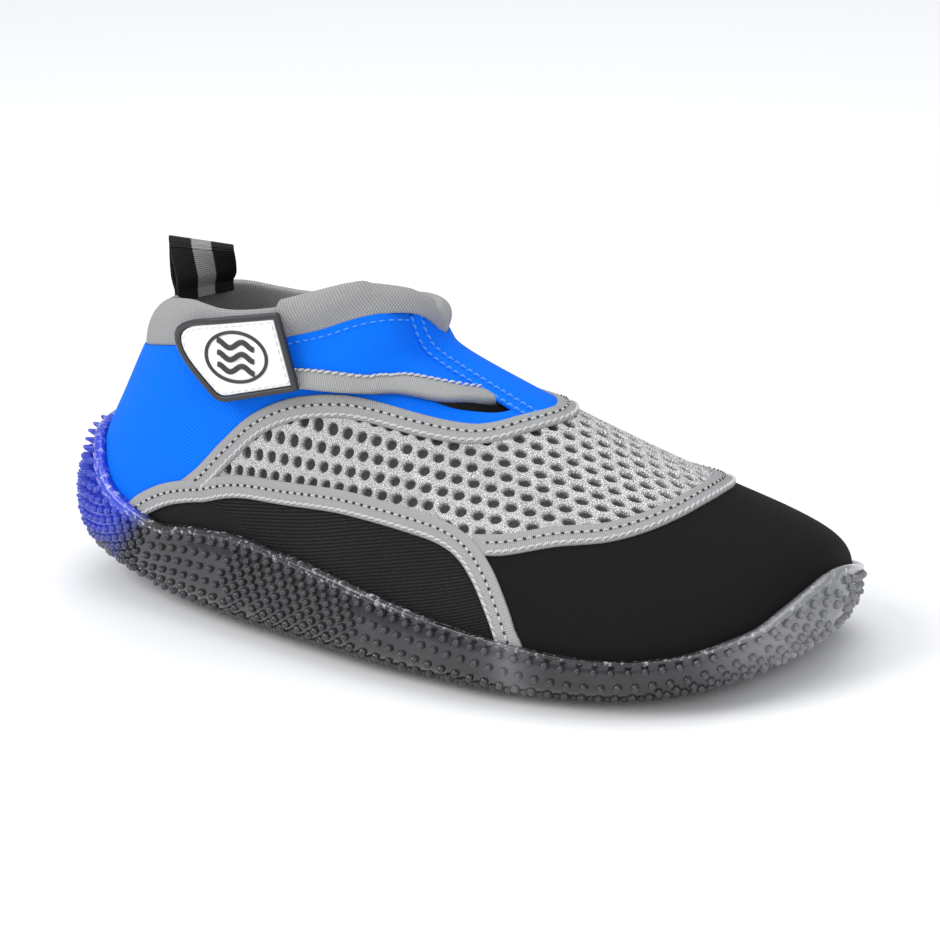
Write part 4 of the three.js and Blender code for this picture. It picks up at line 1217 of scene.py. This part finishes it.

# Outsole: a clear cup with nubs all over, and a smooth glossy band round its rim, with a painted highlight on
# its ripples

sole = {"gap": 0.3, "wall": 2.3, "tread": 2.3, "floor": 1.5, "bandWidth": 3.2,
        "lip": 0.8, "lipPlace": 1.6, "lipWidth": 1.3, "groove": 0.35, "groovePlace": 4.8, "grooveWidth": 1.1,
        "pitch": 4.5, "nubWidth": 2.6, "nubHeight": 1.8, "spikeHeight": 3.4, "spikeWidth": 2.8}
tints = {"blue": "#1238D0", "black": "#121214", "clear": "#56585D", "tape": "#6C6C6E", "milk": "#B2B3B8"}


def soleOffset(grid):
    share = smoothstep(np.abs(grid["places"][..., 1]), 40, 65)
    outer = sole["gap"] + sole["tread"] + (sole["wall"] - sole["tread"]) * share
    lip = sole["lip"] * np.exp(-((grid["edge"] - sole["lipPlace"]) / sole["lipWidth"]) ** 2)
    groove = sole["groove"] * np.exp(-((grid["edge"] - sole["groovePlace"]) / sole["grooveWidth"]) ** 2)
    return outer + lip - groove - rolled(grid["edge"], 1.0)


# What shows through the wall: blue at the heel, black beside the panels, tape where one runs down
def behindWall(places, points):
    station = places[..., 0]
    turn = np.abs((places[..., 1] + 180) % 360 - 180)
    colours = {name: np.array(hexColour(code)) for name, code in tints.items()}
    featherTurn = np.interp(station, feather[::-1, 0], np.abs(feather[::-1, 1]))
    above = smoothstep(turn - featherTurn, -7, 9)[..., None]
    heel = smoothstep(station, 9.3, 9.75)[..., None]
    high = smoothstep(points[..., 2], 12, 21)[..., None]
    shade = between(colours["black"], colours["blue"], heel)
    shade = between(colours["clear"], shade, np.where(heel > 0.5, high, above))
    tape = np.exp(-((station - 4.78) / 0.16) ** 2)[..., None] * above
    shade = between(shade, colours["tape"], tape * 0.75)
    toe = smoothstep(3.2 - station, 0, 2.0)[..., None] * (1 - above * 0.35)
    return between(shade, colours["milk"], toe * 0.8)


def outsoleShell():
    grid = soleGrid(soleRim, soleCentre, 1.7, (0.6, 0.5), 0.0, 1.0)
    outside = soleOffset(grid)
    points = offsetPoints(grid["places"], outside)
    # The rim field marks the band round the rim: its ripples are deeper there and carry a painted highlight
    addShell("outsole_cup", grid, sole["gap"], outside, clearSole, "shoe", replaced=["outsole"],
             floor=sole["floor"], fields={"behind": behindWall(grid["places"], points),
                                          "rim": 1 - smoothstep(grid["edge"], 2.2, 3.6)})


# Nub places: rows across the sole, each half a step on from the last, so that the nubs stand in
# diagonal lines. They are thinned where rows draw together.
def nubPlaces():
    length = lengthsAlong(soleRim)[-1]
    step = sole["pitch"]
    goals = np.arange(step / 2, length - step / 2, step / 2) / length
    outer = placeAt(soleRim, goals)
    middle = placeAt(soleCentre, goals)
    rows = acrossSole(outer[:, None], middle[:, None], np.linspace(0, 1, 161)[None])
    points = surface(rows[..., 0], rows[..., 1])
    lengths = np.cumsum(np.linalg.norm(np.diff(points, axis=1, prepend=points[:, :1]), axis=-1), 1)
    chosen = []
    for count, (row, along) in enumerate(zip(rows, lengths)):
        start = sole["bandWidth"] + 1.0 + (step / 2 if count % 2 else 0)
        for reach in np.arange(start, along[-1] / 2 + 0.1, step):
            for across in (reach, along[-1] - reach):
                chosen.append([np.interp(across, along, row[:, k]) for k in range(2)])
    chosen = np.array(chosen)
    points = surface(chosen[:, 0], chosen[:, 1])
    kept, cells = [], {}
    limit = step * 0.52
    for index, point in enumerate(points):
        cell = tuple((point // limit).astype(int))
        near = [cells.get((cell[0] + i, cell[1] + j, cell[2] + k), [])
                for i in (-1, 0, 1) for j in (-1, 0, 1) for k in (-1, 0, 1)]
        if all(np.linalg.norm(points[other] - point) > limit for group in near for other in group):
            kept.append(index)
            cells.setdefault(cell, []).append(index)
    return chosen[kept]


def soleNubs():
    places = nubPlaces()
    station, turn = places[:, 0], np.abs((places[:, 1] + 180) % 360 - 180)
    out = normal(places[:, 0], places[:, 1])
    share = smoothstep(turn, 40, 65)
    base = sole["gap"] + sole["tread"] + (sole["wall"] - sole["tread"]) * share - 0.25
    centres = offsetPoints(places, base)
    heel = smoothstep(station, 9.9, 10.7)
    height = sole["nubHeight"] + (sole["spikeHeight"] - sole["nubHeight"]) * heel
    width = sole["nubWidth"] + (sole["spikeWidth"] - sole["nubWidth"]) * heel
    # The tread's nubs all end on the ground.
    down = smoothstep(-out[:, 2], 0.8, 0.95)
    centres[:, 2] = np.where(down > 0, np.maximum(centres[:, 2], sole["floor"] - 0.2), centres[:, 2])
    height = between(height, np.clip(centres[:, 2], 0.9, sole["nubHeight"]), down)
    size = rng.uniform(0.94, 1.06, len(places))
    scales = np.stack([width * size, width * size, height], -1)
    dome = turnedShape([(0.5, -0.1), (0.47, 0.32), (0.39, 0.66), (0.24, 0.92), (0.09, 1.0)], 8)
    spike = turnedShape([(0.5, -0.1), (0.4, 0.3), (0.27, 0.66), (0.19, 0.9), (0.07, 1.0)], 8)
    tint = behindWall(places, centres)
    tangent = slopes(np.maximum(np.abs(station), 0.03), places[:, 1])[0]
    for name, shape, keep in (("sole_nubs", dome, heel < 0.5), ("heel_spikes", spike, heel >= 0.5)):
        addScatter(name, shape, centres[keep], tangent[keep], out[keep], scales[keep], nubRubber, "shoe",
                   "clear_sole", {"behind": tint[keep]})


outsoleShell()
soleNubs()
print("outsole made")

# Studio: a pale floor, soft light, and the camera

def studio():
    mesh = bpy.data.meshes.new("studio_floor")
    mesh.from_pydata([(-4, -4, 0), (4, -4, 0), (4, 4, 0), (-4, 4, 0)], [], [(0, 1, 2, 3)])
    material, _, shader = newMaterial("pale_studio_floor", 0.9)
    shader.inputs["Base Color"].default_value = hexColour("#F6F6F6")
    mesh.materials.append(material)
    floor = bpy.data.objects.new("studio_floor", mesh)
    bpy.context.scene.collection.objects.link(floor)
    world = bpy.data.worlds.new("studio_air")
    world.use_nodes = True
    world.node_tree.nodes["Background"].inputs["Color"].default_value = hexColour("#F4F6FA")
    world.node_tree.nodes["Background"].inputs["Strength"].default_value = 0.62
    bpy.context.scene.world = world
    bpy.context.scene.view_settings.view_transform = "Standard"


# Area lights: place and size in metres, power in watts
lights = {
    "key_light": {"place": (-0.7, -1.0, 1.1), "size": 0.9, "power": 13},
    "fill_light": {"place": (1.0, -0.9, 0.6), "size": 1.0, "power": 5.5},
    "top_light": {"place": (0.0, 0.3, 1.3), "size": 1.2, "power": 7.5},
}
lightAim = (0, 0, 0.04)


def addLight(name, place, size, power):
    data = bpy.data.lights.new(name, "AREA")
    data.size = size
    data.energy = power
    light = bpy.data.objects.new(name, data)
    light.location = place
    light.rotation_mode = "QUATERNION"
    light.rotation_quaternion = (Vector(lightAim) - Vector(place)).to_track_quat("-Z", "Y")
    bpy.context.scene.collection.objects.link(light)


# The camera: angles in degrees, distance and target in millimetres on the last
view = {"azimuth": 34, "elevation": 18.8, "distance": 1250, "lens": 165.1, "roll": -2.5,
        "target": (-7.9, 12.2, 41.5)}


def addCamera():
    a, e, r = (math.radians(view[key]) for key in ("azimuth", "elevation", "roll"))
    back = Vector((math.sin(a) * math.cos(e), -math.cos(a) * math.cos(e), math.sin(e)))
    right = Vector((math.cos(a), math.sin(a), 0))
    up = back.cross(right)
    across = right * math.cos(r) + up * math.sin(r)
    above = up * math.cos(r) - right * math.sin(r)
    target = Vector((np.array(view["target"]) + origin) * millimetre)
    data = bpy.data.cameras.new("camera")
    data.sensor_width = 36
    data.lens = view["lens"]
    data.clip_start = 0.05
    camera = bpy.data.objects.new("camera", data)
    turn = Matrix((across, above, back)).transposed().to_4x4()
    camera.matrix_world = Matrix.Translation(target + back * view["distance"] * millimetre) @ turn
    bpy.context.scene.collection.objects.link(camera)
    bpy.context.scene.camera = camera


studio()
for lightName, values in lights.items():
    addLight(lightName, **values)
addCamera()
print("studio made")
